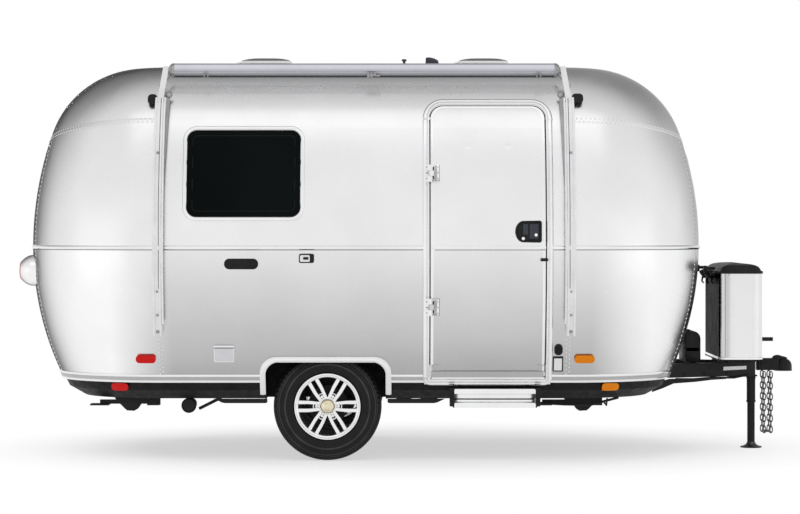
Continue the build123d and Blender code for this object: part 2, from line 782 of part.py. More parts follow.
with BuildPart() as drawbar:
    for side in SIDES:
        add(
            bar(
                (RAIL_START_X, side * rail_y(RAIL_START_X), rail_mid_z),
                (DRAWBAR_TIP_X, side * DRAWBAR_TIP_Y, rail_mid_z),
                RAIL_WIDTH, RAIL_HEIGHT,
            )
        )
    add(body_outside, mode=Mode.SUBTRACT)
    add(belly_pan.part, mode=Mode.SUBTRACT)
    add(lower_trim.part, mode=Mode.SUBTRACT)
drawbar_rails = drawbar.part.solids().sort_by(Axis.X)[-2:]
with BuildPart() as a_frame:
    add(drawbar_rails)
    for low in (RAIL_LOW_Z - GUSSET_THICK, rail_top_z):
        with BuildSketch(Plane.XY.offset(low)):
            with BuildLine():
                rear_half = rail_y(GUSSET_REAR_X) + RAIL_WIDTH / 2
                Polyline(
                    (GUSSET_REAR_X, -rear_half), (COUPLER_REAR_X, -COUPLER_HALF),
                    (COUPLER_REAR_X, COUPLER_HALF), (GUSSET_REAR_X, rear_half), close=True,
                )
            make_face()
            with Locations((JACK_X, 0)):
                Circle(JACK_TUBE_R, mode=Mode.SUBTRACT)
        extrude(amount=GUSSET_THICK)
    add(block(TRAY_REAR_X, TRAY_FRONT_X, -TRAY_HALF, TRAY_HALF, TRAY_Z, COVER_LOW_Z))
    for side in SIDES:
        for x in (TRAY_REAR_X + POST, TRAY_FRONT_X - 2 * POST):
            y = side * rail_y(x)
            add(block(x - POST / 2, x + POST / 2, y - POST / 2, y + POST / 2, rail_top_z, TRAY_Z))
    for cross_x in (TRAY_REAR_X + POST, BATTERY_X):
        cross_half = rail_y(cross_x)
        add(
            block(
                cross_x - CROSS_HALF, cross_x + CROSS_HALF, -cross_half, cross_half,
                RAIL_LOW_Z + CROSS_RISE, rail_top_z,
            )
        )
save(a_frame.part, "a_frame")

ball_x = COUPLER_REAR_X + COUPLER_LENGTH - BALL_FROM_NOSE
socket_r = BALL_R + BALL_GAP
with BuildPart() as coupler:
    add(block(COUPLER_REAR_X, ball_x, -COUPLER_HALF, COUPLER_HALF, COUPLER_LOW_Z, COUPLER_TOP_Z))
    with BuildSketch(Plane.XY.offset(COUPLER_LOW_Z)):
        with Locations((ball_x, 0)):
            Circle(BALL_FROM_NOSE)
    extrude(amount=BALL_Z + socket_r + COUPLER_WALL - COUPLER_LOW_Z)
    hollow_front_x = ball_x - BALL_FROM_NOSE
    hollow_half = COUPLER_HALF - COUPLER_WALL
    hollow_top_z = COUPLER_TOP_Z - COUPLER_WALL
    add(
        block(COUPLER_REAR_X, hollow_front_x, -hollow_half, hollow_half, COUPLER_LOW_Z, hollow_top_z),
        mode=Mode.SUBTRACT,
    )
    add(
        block(
            hollow_front_x - LATCH_LAP, ball_x + LATCH_REACH, -LATCH_HALF, LATCH_HALF, COUPLER_TOP_Z, LATCH_TOP_Z
        )
    )
    with Locations((ball_x, 0, BALL_Z)):
        Sphere(socket_r, mode=Mode.SUBTRACT)
    add(rod((ball_x, 0, COUPLER_LOW_Z), (ball_x, 0, BALL_Z), socket_r), mode=Mode.SUBTRACT)
save(coupler.part, "coupler")

# ---------------------------------------------------------------- jack
FLANGE = 90
with BuildPart() as jack_tube:
    add(rod((JACK_X, 0, JACK_TUBE_LOW_Z), (JACK_X, 0, JACK_TUBE_TOP_Z), JACK_TUBE_R))
    flange_z = rail_top_z + GUSSET_THICK
    crank_end = (JACK_X + CRANK_REACH, 0, CRANK_Z)
    add(block(JACK_X - FLANGE / 2, JACK_X + FLANGE / 3, -FLANGE / 2, FLANGE / 2, flange_z, flange_z + 8))
    add(rod((JACK_X, 0, CRANK_Z), crank_end, CRANK_R))
    add(rod((JACK_X + CRANK_REACH - GRIP_LENGTH, 0, CRANK_Z), crank_end, GRIP_R))
    add(
        rod(
            (JACK_X, 0, JACK_TUBE_LOW_Z), (JACK_X, 0, JACK_TUBE_TOP_Z - JACK_TUBE_WALL),
            JACK_TUBE_R - JACK_TUBE_WALL,
        ),
        mode=Mode.SUBTRACT,
    )
save(jack_tube.part, "jack_tube")

with BuildPart() as jack_leg:
    add(rod((JACK_X, 0, 0), (JACK_X, 0, JACK_LEG_TOP_Z), JACK_LEG_R))
    add(rod((JACK_X, 0, 0), (JACK_X, 0, JACK_FOOT_THICK), JACK_FOOT_R))
save(jack_leg.part, "jack_leg")

# ---------------------------------------------------------------- safety chains
WIRE = 8
LINK_INNER_HALF = 18.2
LINK_SIDE = 6.5
LINK_END = 4
LINK_PITCH = 2 * LINK_INNER_HALF - 0.5
STRAND_LINKS = 11
CHAIN_Y = 52
CHAIN_X = COUPLER_REAR_X + 66
LINK_OUTER_HALF = LINK_INNER_HALF + WIRE


def link(centre, along, flat):
    """One link, a six-sided ring: its length lies along `along`, and its flat faces `flat`."""
    with BuildPart() as ring:
        with BuildSketch(Plane(origin=centre, x_dir=along, z_dir=flat).offset(-WIRE / 2)):
            for length, side, end, mode in (
                (LINK_OUTER_HALF, LINK_SIDE + WIRE, LINK_END + WIRE / 2, Mode.ADD),
                (LINK_INNER_HALF, LINK_SIDE, LINK_END, Mode.SUBTRACT),
            ):
                with BuildLine():
                    Polyline(
                        (-length, -end), (0, -side), (length, -end), (length, end), (0, side), (-length, end),
                        close=True,
                    )
                make_face(mode=mode)
        extrude(amount=WIRE)
    return ring.part


chain_links = []
strand_top_z = COUPLER_LOW_Z - SEAT_GAP - LINK_OUTER_HALF
strand_half = LINK_INNER_HALF + WIRE / 2
for side in SIDES:
    for strand in (-1, 1):
        x = CHAIN_X + strand * strand_half
        for count in range(STRAND_LINKS):
            z = strand_top_z - count * LINK_PITCH
            flat = (0, 1, 0) if (STRAND_LINKS - 1 - count) % 2 == 0 else (1, 0, 0)
            chain_links.append(link((x, side * CHAIN_Y, z), (0, 0, 1), flat))
    low_z = strand_top_z - (STRAND_LINKS - 1) * LINK_PITCH - LINK_INNER_HALF + WIRE / 2 + PIN_GAP
    chain_links.append(link((CHAIN_X, side * CHAIN_Y, low_z), (1, 0, 0), (0, 0, 1)))
with BuildPart() as safety_chains:
    add(chain_links)
save(safety_chains.part, "safety_chains")

# ---------------------------------------------------------------- hinged lids
HINGE_ROD_R = 5
SLEEVE_R = 9
SLEEVE_GAP = 0.5
HINGE_REACH = 6
EAR = 8


def edge_hinge(x, z, half, seat_x, seat_z, foot_top_z):
    """A hinge along Y. Returns its fixed rod with two footed ears, and the moving sleeve."""
    with BuildPart() as fixed:
        add(rod((x, -half, z), (x, half, z), HINGE_ROD_R))
        for side in SIDES:
            y = side * (half - EAR / 2)
            add(block(x - SLEEVE_R, x + SLEEVE_R, y - EAR / 2, y + EAR / 2, seat_z, z + SLEEVE_R))
            add(block(x - SLEEVE_R, seat_x, y - EAR / 2, y + EAR / 2, seat_z, foot_top_z))
    with BuildPart() as sleeve:
        reach = half - EAR - SLEEVE_GAP
        add(rod((x, -reach, z), (x, reach, z), SLEEVE_R))
        add(block(x, x + SLEEVE_R + HINGE_REACH, -reach, reach, z, z + SLEEVE_R))
        add(rod((x, -reach, z), (x, reach, z), HINGE_ROD_R + SLEEVE_GAP), mode=Mode.SUBTRACT)
    return fixed.part, sleeve.part


# ---------------------------------------------------------------- gas-tank cover, tanks, battery
COVER_REAR_X = TRAY_REAR_X
COVER_FRONT_X = COVER_REAR_X + 280
COVER_HALF = 430
COVER_TOP_Z = 1156
COVER_CORNER = 60
COVER_WALL = 4
NOTCH_HALF = 44
NOTCH_TOP_Z = 800
LID_OVER = 6
LID_HEIGHT = 68
LID_WALL = 5
LID_ROUND = 28
LID_HINGE_HALF = 150
LID_HINGE_FOOT = 30
TANK_R = 122
TANK_Y = 205
TANK_TOP_Z = 1000
COLLAR_R = 80
COLLAR_TOP_Z = 1100

cover_mid_x = (COVER_REAR_X + COVER_FRONT_X) / 2
cover_length = COVER_FRONT_X - COVER_REAR_X


def cover_outline(low, step):
    """The cover's plan, moved out by `step`, on a level plane."""
    with BuildSketch(Plane.XY.offset(low)) as plan:
        with Locations((cover_mid_x, 0)):
            RectangleRounded(cover_length + 2 * step, 2 * (COVER_HALF + step), COVER_CORNER + step)
    return plan.sketch


lid_low_z = COVER_TOP_Z + PIN_GAP
lid_hinge_x = COVER_REAR_X - LID_OVER - SLEEVE_R - HINGE_REACH
lid_hinge_z = lid_low_z + SLEEVE_R
lid_rod, lid_sleeve = edge_hinge(
    lid_hinge_x, lid_hinge_z, LID_HINGE_HALF, COVER_REAR_X, COVER_TOP_Z - LID_HINGE_FOOT, COVER_TOP_Z - RUNNING_GAP
)
with BuildPart() as tank_cover:
    extrude(cover_outline(COVER_LOW_Z, 0), amount=COVER_TOP_Z - COVER_LOW_Z)
    extrude(cover_outline(COVER_LOW_Z, -COVER_WALL), amount=COVER_TOP_Z - COVER_LOW_Z, mode=Mode.SUBTRACT)
    add(
        block(cover_mid_x, COVER_FRONT_X + 10, -NOTCH_HALF, NOTCH_HALF, COVER_LOW_Z, NOTCH_TOP_Z),
        mode=Mode.SUBTRACT,
    )
    add(lid_rod)
save(tank_cover.part, "tank_cover")

with BuildPart() as tank_lid:
    extrude(cover_outline(lid_low_z, LID_OVER), amount=LID_HEIGHT)
    fillet(tank_lid.faces().sort_by(Axis.Z)[-1].edges(), LID_ROUND)
    extrude(cover_outline(lid_low_z, LID_OVER - LID_WALL), amount=LID_HEIGHT - LID_ROUND, mode=Mode.SUBTRACT)
    add(lid_sleeve)
save(tank_lid.part, "tank_lid")

with BuildPart() as gas_tanks:
    for side in SIDES:
        with BuildSketch(Plane(origin=(cover_mid_x, side * TANK_Y, 0), x_dir=(1, 0, 0), z_dir=(0, -1, 0))):
            with BuildLine():
                Polyline(
                    (0, COVER_LOW_Z), (TANK_R - 20, COVER_LOW_Z), (TANK_R, COVER_LOW_Z + 70),
                    (TANK_R, TANK_TOP_Z - 80), (COLLAR_R + 6, TANK_TOP_Z - 12), (COLLAR_R, TANK_TOP_Z),
                    (COLLAR_R, COLLAR_TOP_Z), (COLLAR_R - 6, COLLAR_TOP_Z), (COLLAR_R - 6, TANK_TOP_Z),
                    (24, TANK_TOP_Z), (24, COLLAR_TOP_Z - 20), (0, COLLAR_TOP_Z - 20), close=True,
                )
            make_face()
        revolve(axis=Axis((cover_mid_x, side * TANK_Y, 0), (0, 0, 1)))
save(gas_tanks.part, "gas_tanks")

BATTERY_HALF = 200
BATTERY_TOP_Z = 788
with BuildPart() as battery_box:
    battery_rear_x = BATTERY_X - BATTERY_LENGTH / 2
    battery_front_x = BATTERY_X + BATTERY_LENGTH / 2
    add(block(battery_rear_x, battery_front_x, -BATTERY_HALF, BATTERY_HALF, rail_top_z, BATTERY_TOP_Z))
    fillet(battery_box.edges().filter_by(Axis.Z), 12)
    fillet(battery_box.faces().sort_by(Axis.Z)[-1].edges(), 10)
save(battery_box.part, "battery_box")

# ---------------------------------------------------------------- roof fittings
VENT_HALF = 170
VENT_BASE_HEIGHT = 30
VENT_LID_HALF = 165
VENT_LID_HEIGHT = 52
VENT_LID_ROUND = 34
VENT_LID_WALL = 4
vent_top_z = ROOF_Z + VENT_BASE_HEIGHT
vent_lid_z = vent_top_z + 2
vent_hinge_z = vent_lid_z + SLEEVE_R + 1
VENT_HINGE_HALF = 120
vent_bases = []
for name, x in VENTS:
    vent_hinge_x = x - VENT_LID_HALF - SLEEVE_R - HINGE_REACH
    vent_rod, vent_sleeve = edge_hinge(
        vent_hinge_x, vent_hinge_z, VENT_HINGE_HALF, x - VENT_HALF, ROOF_Z, vent_top_z
    )
    with BuildPart() as vent_base:
        with BuildSketch(Plane.XY.offset(ROOF_Z)):
            with Locations((x, 0)):
                RectangleRounded(2 * VENT_HALF, 2 * VENT_HALF, 30)
                Rectangle(2 * VENT_HOLE_HALF, 2 * VENT_HOLE_HALF, mode=Mode.SUBTRACT)
        extrude(amount=VENT_BASE_HEIGHT)
        add(vent_rod)
    vent_bases.append(vent_base.part)
    with BuildPart() as vent_lid:
        with BuildSketch(Plane.XY.offset(vent_lid_z)):
            with Locations((x, 0)):
                RectangleRounded(2 * VENT_LID_HALF, 2 * VENT_LID_HALF, 40)
        extrude(amount=VENT_LID_HEIGHT)
        fillet(vent_lid.faces().sort_by(Axis.Z)[-1].edges(), VENT_LID_ROUND)
        inner_half = VENT_LID_HALF - VENT_LID_WALL
        inner_top_z = vent_lid_z + VENT_LID_HEIGHT - VENT_LID_ROUND
        add(
            block(x - inner_half, x + inner_half, -inner_half, inner_half, vent_lid_z, inner_top_z),
            mode=Mode.SUBTRACT,
        )
        add(vent_sleeve)
    save(vent_lid.part, f"vent_lid_{name}")
with BuildPart() as vent_base_pair:
    add(vent_bases)
save(vent_base_pair.part, "vent_bases")

ANTENNA_X = BODY_MID_X + 352
with BuildPart() as antenna:
    with Locations((ANTENNA_X, 0, ROOF_Z)):
        Box(265, 180, 46, align=(Align.CENTER, Align.CENTER, Align.MIN))
    fillet(antenna.faces().sort_by(Axis.Z)[-1].edges(), 30)
    with Locations((ANTENNA_X + 40, 0, ROOF_Z + 40)):
        Cylinder(46, 50, align=(Align.CENTER, Align.CENTER, Align.MIN))
save(antenna.part, "antenna")

# ---------------------------------------------------------------- awning
ROLLER_R = 41
ROLLER_REAR_X = REAR_SEAM_X + 62
ROLLER_FRONT_X = FRONT_SEAM_X - 68
ROLLER_Y = -(HALF_WIDTH - 305)
ROLLER_Z = ROOF_Z - 50
CAP_LENGTH = 24
CAP_STEP = 4
ARM_WIDTH = 56
ARM_STAND = 42
ARM_SECTION = 20
ARM_LOW_Z = 800
ARM_BEND_Z = ROOF_Z - 260
STRUT_WIDTH = 36
# middle of each awning arm along X, and of the strut's top end
strut_reach = CAP_LENGTH + STRUT_WIDTH / 2 + SEAT_GAP
AWNING_ARMS = (
    (REAR_SEAM_X - 7, ROLLER_REAR_X - strut_reach),
    (FRONT_SEAM_X + 8, ROLLER_FRONT_X + strut_reach),
)
STANDOFF_Z = (ARM_LOW_Z + 30, ARM_BEND_Z - 330)
STANDOFF_HALF = 25
STRUT_LAP = 6

with BuildPart() as awning_roller:
    add(rod((ROLLER_REAR_X, ROLLER_Y, ROLLER_Z), (ROLLER_FRONT_X, ROLLER_Y, ROLLER_Z), ROLLER_R))
    for start, end in (
        (ROLLER_REAR_X - CAP_LENGTH, ROLLER_REAR_X),
        (ROLLER_FRONT_X, ROLLER_FRONT_X + CAP_LENGTH),
    ):
        add(rod((start, ROLLER_Y, ROLLER_Z), (end, ROLLER_Y, ROLLER_Z), ROLLER_R + CAP_STEP))
save(awning_roller.part, "awning_roller")

with BuildPart() as awning_arms:
    for x, top_x in AWNING_ARMS:
        long_block = block(x - ARM_WIDTH / 2, x + ARM_WIDTH / 2, -BODY_WIDTH, 0, ARM_LOW_Z, ARM_BEND_Z)
        arm = side_piece(RIGHT, -ARM_STAND - ARM_SECTION, -ARM_STAND, long_block)
        arm_top = arm.faces().sort_by(Axis.Z)[-1].center()
        add(arm)
        for z in STANDOFF_Z:
            foot = block(x - ARM_WIDTH / 2, x + ARM_WIDTH / 2, -BODY_WIDTH, 0, z - STANDOFF_HALF, z + STANDOFF_HALF)
            add(side_piece(RIGHT, -ARM_STAND, 0, foot))
        start = (arm_top.X, arm_top.Y, arm_top.Z - STRUT_LAP)
        add(bar(start, (top_x, ROLLER_Y, ROLLER_Z + ROLLER_R / 2), ARM_SECTION, STRUT_WIDTH, up=(1, 0, 0)))
save(awning_arms.part, "awning_arms")

# ---------------------------------------------------------------- tail lamps, marker lamps
POD_Y = FLAT_HALF + 180
POD_Z = BELT_Z - 151
POD_REAR_X = BODY_REAR_X - 57
POD_R = 99
POD_NECK_R = 88
POD_DEPTH = 260
LENS_R = 78
LENS_THICK = 9
# end, rear edge, front edge, lower edge, upper edge, outer and inner depth of each lamp on both sides
RED_LAMPS = (
    (REAR, REAR_SEAM_X - 155, REAR_SEAM_X - 30, 613, 662, -14, 0),
    (REAR, REAR_SEAM_X - 323, REAR_SEAM_X - 213, 434, 482, -4, PAN_INSET),
)
AMBER_LAMPS = (
    (FRONT, FRONT_SEAM_X + 37, FRONT_SEAM_X + 164, 613, 662, -14, 0),
    (FRONT, FRONT_SEAM_X + 217, FRONT_SEAM_X + 327, 434, 482, -4, PAN_INSET),
)
CLEARANCE_LAMPS = (
    (REAR, REAR_SEAM_X - 87, REAR_SEAM_X - 31, ROOF_Z - 264, ROOF_Z - 202, -30, 0),
    (FRONT, FRONT_SEAM_X + 28, FRONT_SEAM_X + 97, ROOF_Z - 258, ROOF_Z - 198, -30, 0),
)
LAMP_CORNER = 22

with BuildPart() as tail_lamp_pods:
    for side in SIDES:
        with BuildSketch(Plane(origin=(0, side * POD_Y, POD_Z), x_dir=(1, 0, 0), z_dir=(0, -1, 0))):
            with BuildLine():
                Polyline(
                    (POD_REAR_X, 0), (POD_REAR_X, POD_R - 6), (POD_REAR_X + 6, POD_R),
                    (POD_REAR_X + 40, POD_R), (POD_REAR_X + POD_DEPTH, POD_NECK_R),
                    (POD_REAR_X + POD_DEPTH, 0), close=True,
                )
            make_face()
        revolve(axis=Axis((0, side * POD_Y, POD_Z), (1, 0, 0)))
    add(body_outside, mode=Mode.SUBTRACT)
save(tail_lamp_pods.part, "tail_lamp_pods")

with BuildPart() as tail_lamp_lenses:
    for side in SIDES:
        add(rod((POD_REAR_X - LENS_THICK, side * POD_Y, POD_Z), (POD_REAR_X, side * POD_Y, POD_Z), LENS_R))
save(tail_lamp_lenses.part, "tail_lamp_lenses")


def lamp_set(lamps, name):
    """Lamps that follow the rounded corners, the same on both sides."""
    with BuildPart() as lamp_pieces:
        for end, x_low, x_high, z_low, z_high, outer, inner in lamps:
            for side in SIDES:
                outline = side_block(side, x_low, x_high, z_low, z_high, LAMP_CORNER)
                add(corner_piece(end, side, outer, inner, outline, min(SHELL_LOW_Z, z_low - LAMP_CORNER)))
    save(lamp_pieces.part, name)


lamp_set(RED_LAMPS, "red_lamps")
lamp_set(AMBER_LAMPS, "amber_lamps")
lamp_set(CLEARANCE_LAMPS, "clearance_lamps")

# ---------------------------------------------------------------- small wall fittings
# rear edge, front edge, lower edge, upper edge, corner, stand of each fitting on the right wall
WALL_FITTINGS = (
    (REAR_SEAM_X + 402, REAR_SEAM_X + 612, BELT_Z - 133, BELT_Z - 67, 32, 5),
    (REAR_SEAM_X + 863, REAR_SEAM_X + 956, BELT_Z - 94, BELT_Z - 37, 12, 12),
    (DOOR_FRONT_X + 21, DOOR_FRONT_X + 73, 663, 730, 25, 8),
    (DOOR_FRONT_X + 13, DOOR_FRONT_X + 78, 560, 654, 6, 4),
)
with BuildPart() as wall_fittings:
    for x_low, x_high, z_low, z_high, corner, stand in WALL_FITTINGS:
        add(side_piece(RIGHT, -stand, 0, side_block(RIGHT, x_low, x_high, z_low, z_high, corner)))
save(wall_fittings.part, "wall_fittings")

HATCH_LIMITS = (REAR_SEAM_X + 332, REAR_SEAM_X + 456, 620, 707)
HATCH_CORNER = 8
HATCH_RIM_STAND = 4
HATCH_LID_STAND = 10
HATCH_LIP = 9
HATCH_LIP_GAP = 8
HATCH_LIP_OVER = 4
HATCH_RIM = 4
HATCH_BARREL_R = 3
HATCH_PIN_R = 1.2
HATCH_PIN = 8
hatch_outer = side_block(RIGHT, *HATCH_LIMITS, HATCH_CORNER)
hatch_inner = side_block(RIGHT, *shrink(HATCH_LIMITS, HATCH_RIM), HATCH_CORNER - HATCH_RIM)
hatch_rear, hatch_front, hatch_low, hatch_high = HATCH_LIMITS
hatch_ends = (hatch_rear + HATCH_RIM, hatch_front - HATCH_RIM)
hatch_hinge_z = hatch_high - HATCH_RIM
# The axis lies HATCH_BARREL_R and a gap outside the rim: its Y and Z.
hatch_stand = HATCH_RIM_STAND + HATCH_BARREL_R + SEAT_GAP
hatch_axis = (-FLAT_HALF - lower_reach(hatch_hinge_z, -hatch_stand), hatch_hinge_z)
pin_spans = (
    (hatch_ends[0] - PIN_GAP, hatch_ends[0] + HATCH_PIN),
    (hatch_ends[1] - HATCH_PIN, hatch_ends[1] + PIN_GAP),
)
with BuildPart() as hatch_pin_pair:
    for start, end in pin_spans:
        add(rod((start, *hatch_axis), (end, *hatch_axis), HATCH_PIN_R))
hatch_pins = hatch_pin_pair.part
with BuildPart() as hatch_rim:
    add(side_piece(RIGHT, -HATCH_RIM_STAND, 0, hatch_outer))
    lip_low = hatch_high + HATCH_LIP_GAP
    hatch_lip = block(hatch_rear, hatch_front, -BODY_WIDTH, 0, lip_low, lip_low + HATCH_LIP)
    add(side_piece(RIGHT, -HATCH_LID_STAND - HATCH_LIP_OVER, 0, hatch_lip))
    for x_low, x_high in ((hatch_rear, hatch_ends[0] - PIN_GAP), (hatch_ends[1] + PIN_GAP, hatch_front)):
        ear = block(
            x_low, x_high, -BODY_WIDTH, 0, hatch_hinge_z - HATCH_BARREL_R, hatch_hinge_z + HATCH_BARREL_R
        )
        add(side_piece(RIGHT, -HATCH_LID_STAND, 0, ear))
    add(hatch_pins)
save(hatch_rim.part, "hatch_rim")

with BuildPart() as hatch_lid:
    add(side_piece(RIGHT, -HATCH_LID_STAND, -HATCH_RIM_STAND - PIN_GAP, hatch_inner))
    add(rod((hatch_ends[0], *hatch_axis), (hatch_ends[1], *hatch_axis), HATCH_BARREL_R))
    for start, end in pin_spans:
        add(
            rod((start - PIN_GAP, *hatch_axis), (end + PIN_GAP, *hatch_axis), HATCH_PIN_R + PIN_GAP),
            mode=Mode.SUBTRACT,
        )
save(hatch_lid.part, "hatch_lid")

# ---------------------------------------------------------------- entry step
STEP_REAR_X = DOOR_REAR_X + 187
STEP_FRONT_X = DOOR_FRONT_X - 92
STEP_INNER_Y = HALF_WIDTH - 212
STEP_OUTER_Y = HALF_WIDTH - 152
STEP_UPPER_Z = 422
STEP_LOWER_Z = 362
TREAD_THICK = 26
RUNNER_WIDTH = 24
RUNNER_HEIGHT = 14
RUNNER_INNER_Y = STEP_INNER_Y - 358
RUNNER_X = (STEP_REAR_X + 40, STEP_FRONT_X - 40)
GUIDE_GAP = 0.3
GUIDE_WALL = 6
GUIDE_Y = ((STEP_INNER_Y - 318, STEP_INNER_Y - 278), (STEP_INNER_Y - 178, STEP_INNER_Y - 138))

with BuildPart() as step_treads:
    add(block(STEP_REAR_X, STEP_FRONT_X, -STEP_OUTER_Y, -STEP_INNER_Y, STEP_UPPER_Z, STEP_UPPER_Z + TREAD_THICK))
    add(
        block(
            STEP_REAR_X, STEP_FRONT_X, -STEP_OUTER_Y - 6, -STEP_INNER_Y + 60, STEP_LOWER_Z - TREAD_THICK,
            STEP_LOWER_Z,
        )
    )
save(step_treads.part, "step_treads")

with BuildPart() as step_slide:
    for x, tread_x in ((STEP_REAR_X - 8, STEP_REAR_X), (STEP_FRONT_X, STEP_FRONT_X + 8)):
        add(
            block(
                x, tread_x, -STEP_OUTER_Y - 6, -STEP_INNER_Y, STEP_LOWER_Z - TREAD_THICK,
                STEP_UPPER_Z + TREAD_THICK + 4,
            )
        )
    for x in RUNNER_X:
        add(
            block(
                x - RUNNER_WIDTH / 2, x + RUNNER_WIDTH / 2, -STEP_INNER_Y + 60, -RUNNER_INNER_Y,
                STEP_LOWER_Z - TREAD_THICK, STEP_LOWER_Z - TREAD_THICK + RUNNER_HEIGHT,
            )
        )
    add(
        block(
            STEP_REAR_X - 8, STEP_FRONT_X + 8, -STEP_INNER_Y + 60, -STEP_INNER_Y + 78,
            STEP_LOWER_Z - TREAD_THICK, STEP_LOWER_Z - TREAD_THICK + RUNNER_HEIGHT,
        )
    )
    for x, tread_x in ((STEP_REAR_X - 8, STEP_REAR_X), (STEP_FRONT_X, STEP_FRONT_X + 8)):
        add(
            block(
                x, tread_x, -STEP_INNER_Y, -STEP_INNER_Y + 78, STEP_LOWER_Z - TREAD_THICK,
                STEP_LOWER_Z - TREAD_THICK + RUNNER_HEIGHT,
            )
        )
save(step_slide.part, "step_slide")

runner_low = STEP_LOWER_Z - TREAD_THICK
guide_low = runner_low - GUIDE_GAP - GUIDE_WALL
with BuildPart() as step_guides:
    for x in RUNNER_X:
        for y_in, y_out in GUIDE_Y:
            half = RUNNER_WIDTH / 2 + GUIDE_GAP
            add(block(x - half - GUIDE_WALL, x + half + GUIDE_WALL, -y_out, -y_in, guide_low, PAN_LOW_Z))
            add(
                block(
                    x - half, x + half, -y_out, -y_in, runner_low - GUIDE_GAP,
                    runner_low + RUNNER_HEIGHT + GUIDE_GAP,
                ),
                mode=Mode.SUBTRACT,
            )
save(step_guides.part, "step_guides")

# ---------------------------------------------------------------- stabilizers
STABILIZER_Y = HALF_WIDTH - 510
STABILIZER_Z = PAN_LOW_Z - 32
# name, pivot along X; each leg lies folded to the rear of its pivot
STABILIZERS = (("front", FRONT_SEAM_X + 197), ("rear", REAR_SEAM_X - 78))
LEG_LENGTH = 340
LEG_WIDTH = 36
LEG_HEIGHT = 26
PIVOT_R = 8
CHEEK = 6
PAD_LENGTH = 120
PAD_WIDTH = 110
PAD_THICK = 8

stabilizer_brackets = []
for name, pivot_x in STABILIZERS:
    for side, side_name in ((LEFT, "left"), (RIGHT, "right")):
        y = side * STABILIZER_Y
        reach = LEG_WIDTH / 2 + RUNNING_GAP
        with BuildPart() as bracket:
            add(rod((pivot_x, y - reach - CHEEK, STABILIZER_Z), (pivot_x, y + reach + CHEEK, STABILIZER_Z), PIVOT_R))
            for edge in (-reach - CHEEK, reach):
                add(block(pivot_x - 40, pivot_x + 40, y + edge, y + edge + CHEEK, STABILIZER_Z - 22, PAN_LOW_Z))
            add(
                block(
                    pivot_x - 40, pivot_x + 40, y - reach, y + reach, PAN_LOW_Z - CHEEK, PAN_LOW_Z
                )
            )
        stabilizer_brackets.append(bracket.part)
        with BuildPart() as leg:
            add(
                block(
                    pivot_x - LEG_LENGTH, pivot_x, y - LEG_WIDTH / 2, y + LEG_WIDTH / 2,
                    STABILIZER_Z - LEG_HEIGHT / 2, STABILIZER_Z + LEG_HEIGHT / 2,
                )
            )
            add(
                rod(
                    (pivot_x, y - LEG_WIDTH / 2, STABILIZER_Z), (pivot_x, y + LEG_WIDTH / 2, STABILIZER_Z),
                    LEG_HEIGHT / 2,
                )
            )
            add(
                block(
                    pivot_x - LEG_LENGTH - PAD_LENGTH / 2, pivot_x - LEG_LENGTH + PAD_LENGTH / 2,
                    y - PAD_WIDTH / 2, y + PAD_WIDTH / 2, STABILIZER_Z - LEG_HEIGHT / 2 - PAD_THICK,
                    STABILIZER_Z - LEG_HEIGHT / 2,
                )
            )
            add(
                rod(
                    (pivot_x, y - LEG_WIDTH / 2, STABILIZER_Z), (pivot_x, y + LEG_WIDTH / 2, STABILIZER_Z),
                    PIVOT_R + PIN_GAP,
                ),
                mode=Mode.SUBTRACT,
            )
        save(leg.part, f"stabilizer_{name}_{side_name}")
with BuildPart() as stabilizer_mounts:
    add(stabilizer_brackets)
save(stabilizer_mounts.part, "stabilizer_mounts")

# ---------------------------------------------------------------- drain outlet under the rear
DRAIN_X = REAR_SEAM_X + 157
DRAIN_Y = -(HALF_WIDTH - 390)
DRAIN_R = 44
with BuildPart() as drain_outlet:
    add(rod((DRAIN_X, DRAIN_Y + 140, PAN_LOW_Z - 46), (DRAIN_X, DRAIN_Y, PAN_LOW_Z - 46), DRAIN_R - 6))
    add(rod((DRAIN_X, DRAIN_Y, PAN_LOW_Z - 46), (DRAIN_X, DRAIN_Y - 40, PAN_LOW_Z - 46), DRAIN_R))
    add(block(DRAIN_X - 20, DRAIN_X + 20, DRAIN_Y + 60, DRAIN_Y + 120, PAN_LOW_Z - 46, PAN_LOW_Z))
save(drain_outlet.part, "drain_outlet")
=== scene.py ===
"""The look of a travel caravan, modelled round its CAD nodes. Lengths are metres if nothing else is said."""
import json
import math

import bmesh
import bpy
from mathutils import Matrix, Vector

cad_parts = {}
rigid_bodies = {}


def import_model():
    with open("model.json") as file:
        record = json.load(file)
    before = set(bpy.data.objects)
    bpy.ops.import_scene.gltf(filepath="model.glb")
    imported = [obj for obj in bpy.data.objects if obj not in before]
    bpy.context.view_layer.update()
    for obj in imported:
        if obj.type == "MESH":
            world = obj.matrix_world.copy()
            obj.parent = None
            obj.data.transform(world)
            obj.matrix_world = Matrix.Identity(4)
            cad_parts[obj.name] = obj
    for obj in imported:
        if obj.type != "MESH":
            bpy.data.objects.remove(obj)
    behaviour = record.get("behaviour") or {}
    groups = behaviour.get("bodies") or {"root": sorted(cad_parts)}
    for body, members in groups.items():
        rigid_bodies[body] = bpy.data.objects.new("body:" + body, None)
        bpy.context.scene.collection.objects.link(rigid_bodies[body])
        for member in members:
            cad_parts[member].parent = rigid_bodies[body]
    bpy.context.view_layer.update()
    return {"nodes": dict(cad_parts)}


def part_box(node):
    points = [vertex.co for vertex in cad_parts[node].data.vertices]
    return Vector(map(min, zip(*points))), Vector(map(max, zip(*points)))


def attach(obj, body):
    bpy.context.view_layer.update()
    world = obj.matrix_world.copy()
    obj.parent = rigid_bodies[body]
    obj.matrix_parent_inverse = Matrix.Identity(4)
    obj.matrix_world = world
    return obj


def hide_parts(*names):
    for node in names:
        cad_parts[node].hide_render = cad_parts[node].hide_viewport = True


for default_object in list(bpy.data.objects):
    bpy.data.objects.remove(default_object)
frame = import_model()
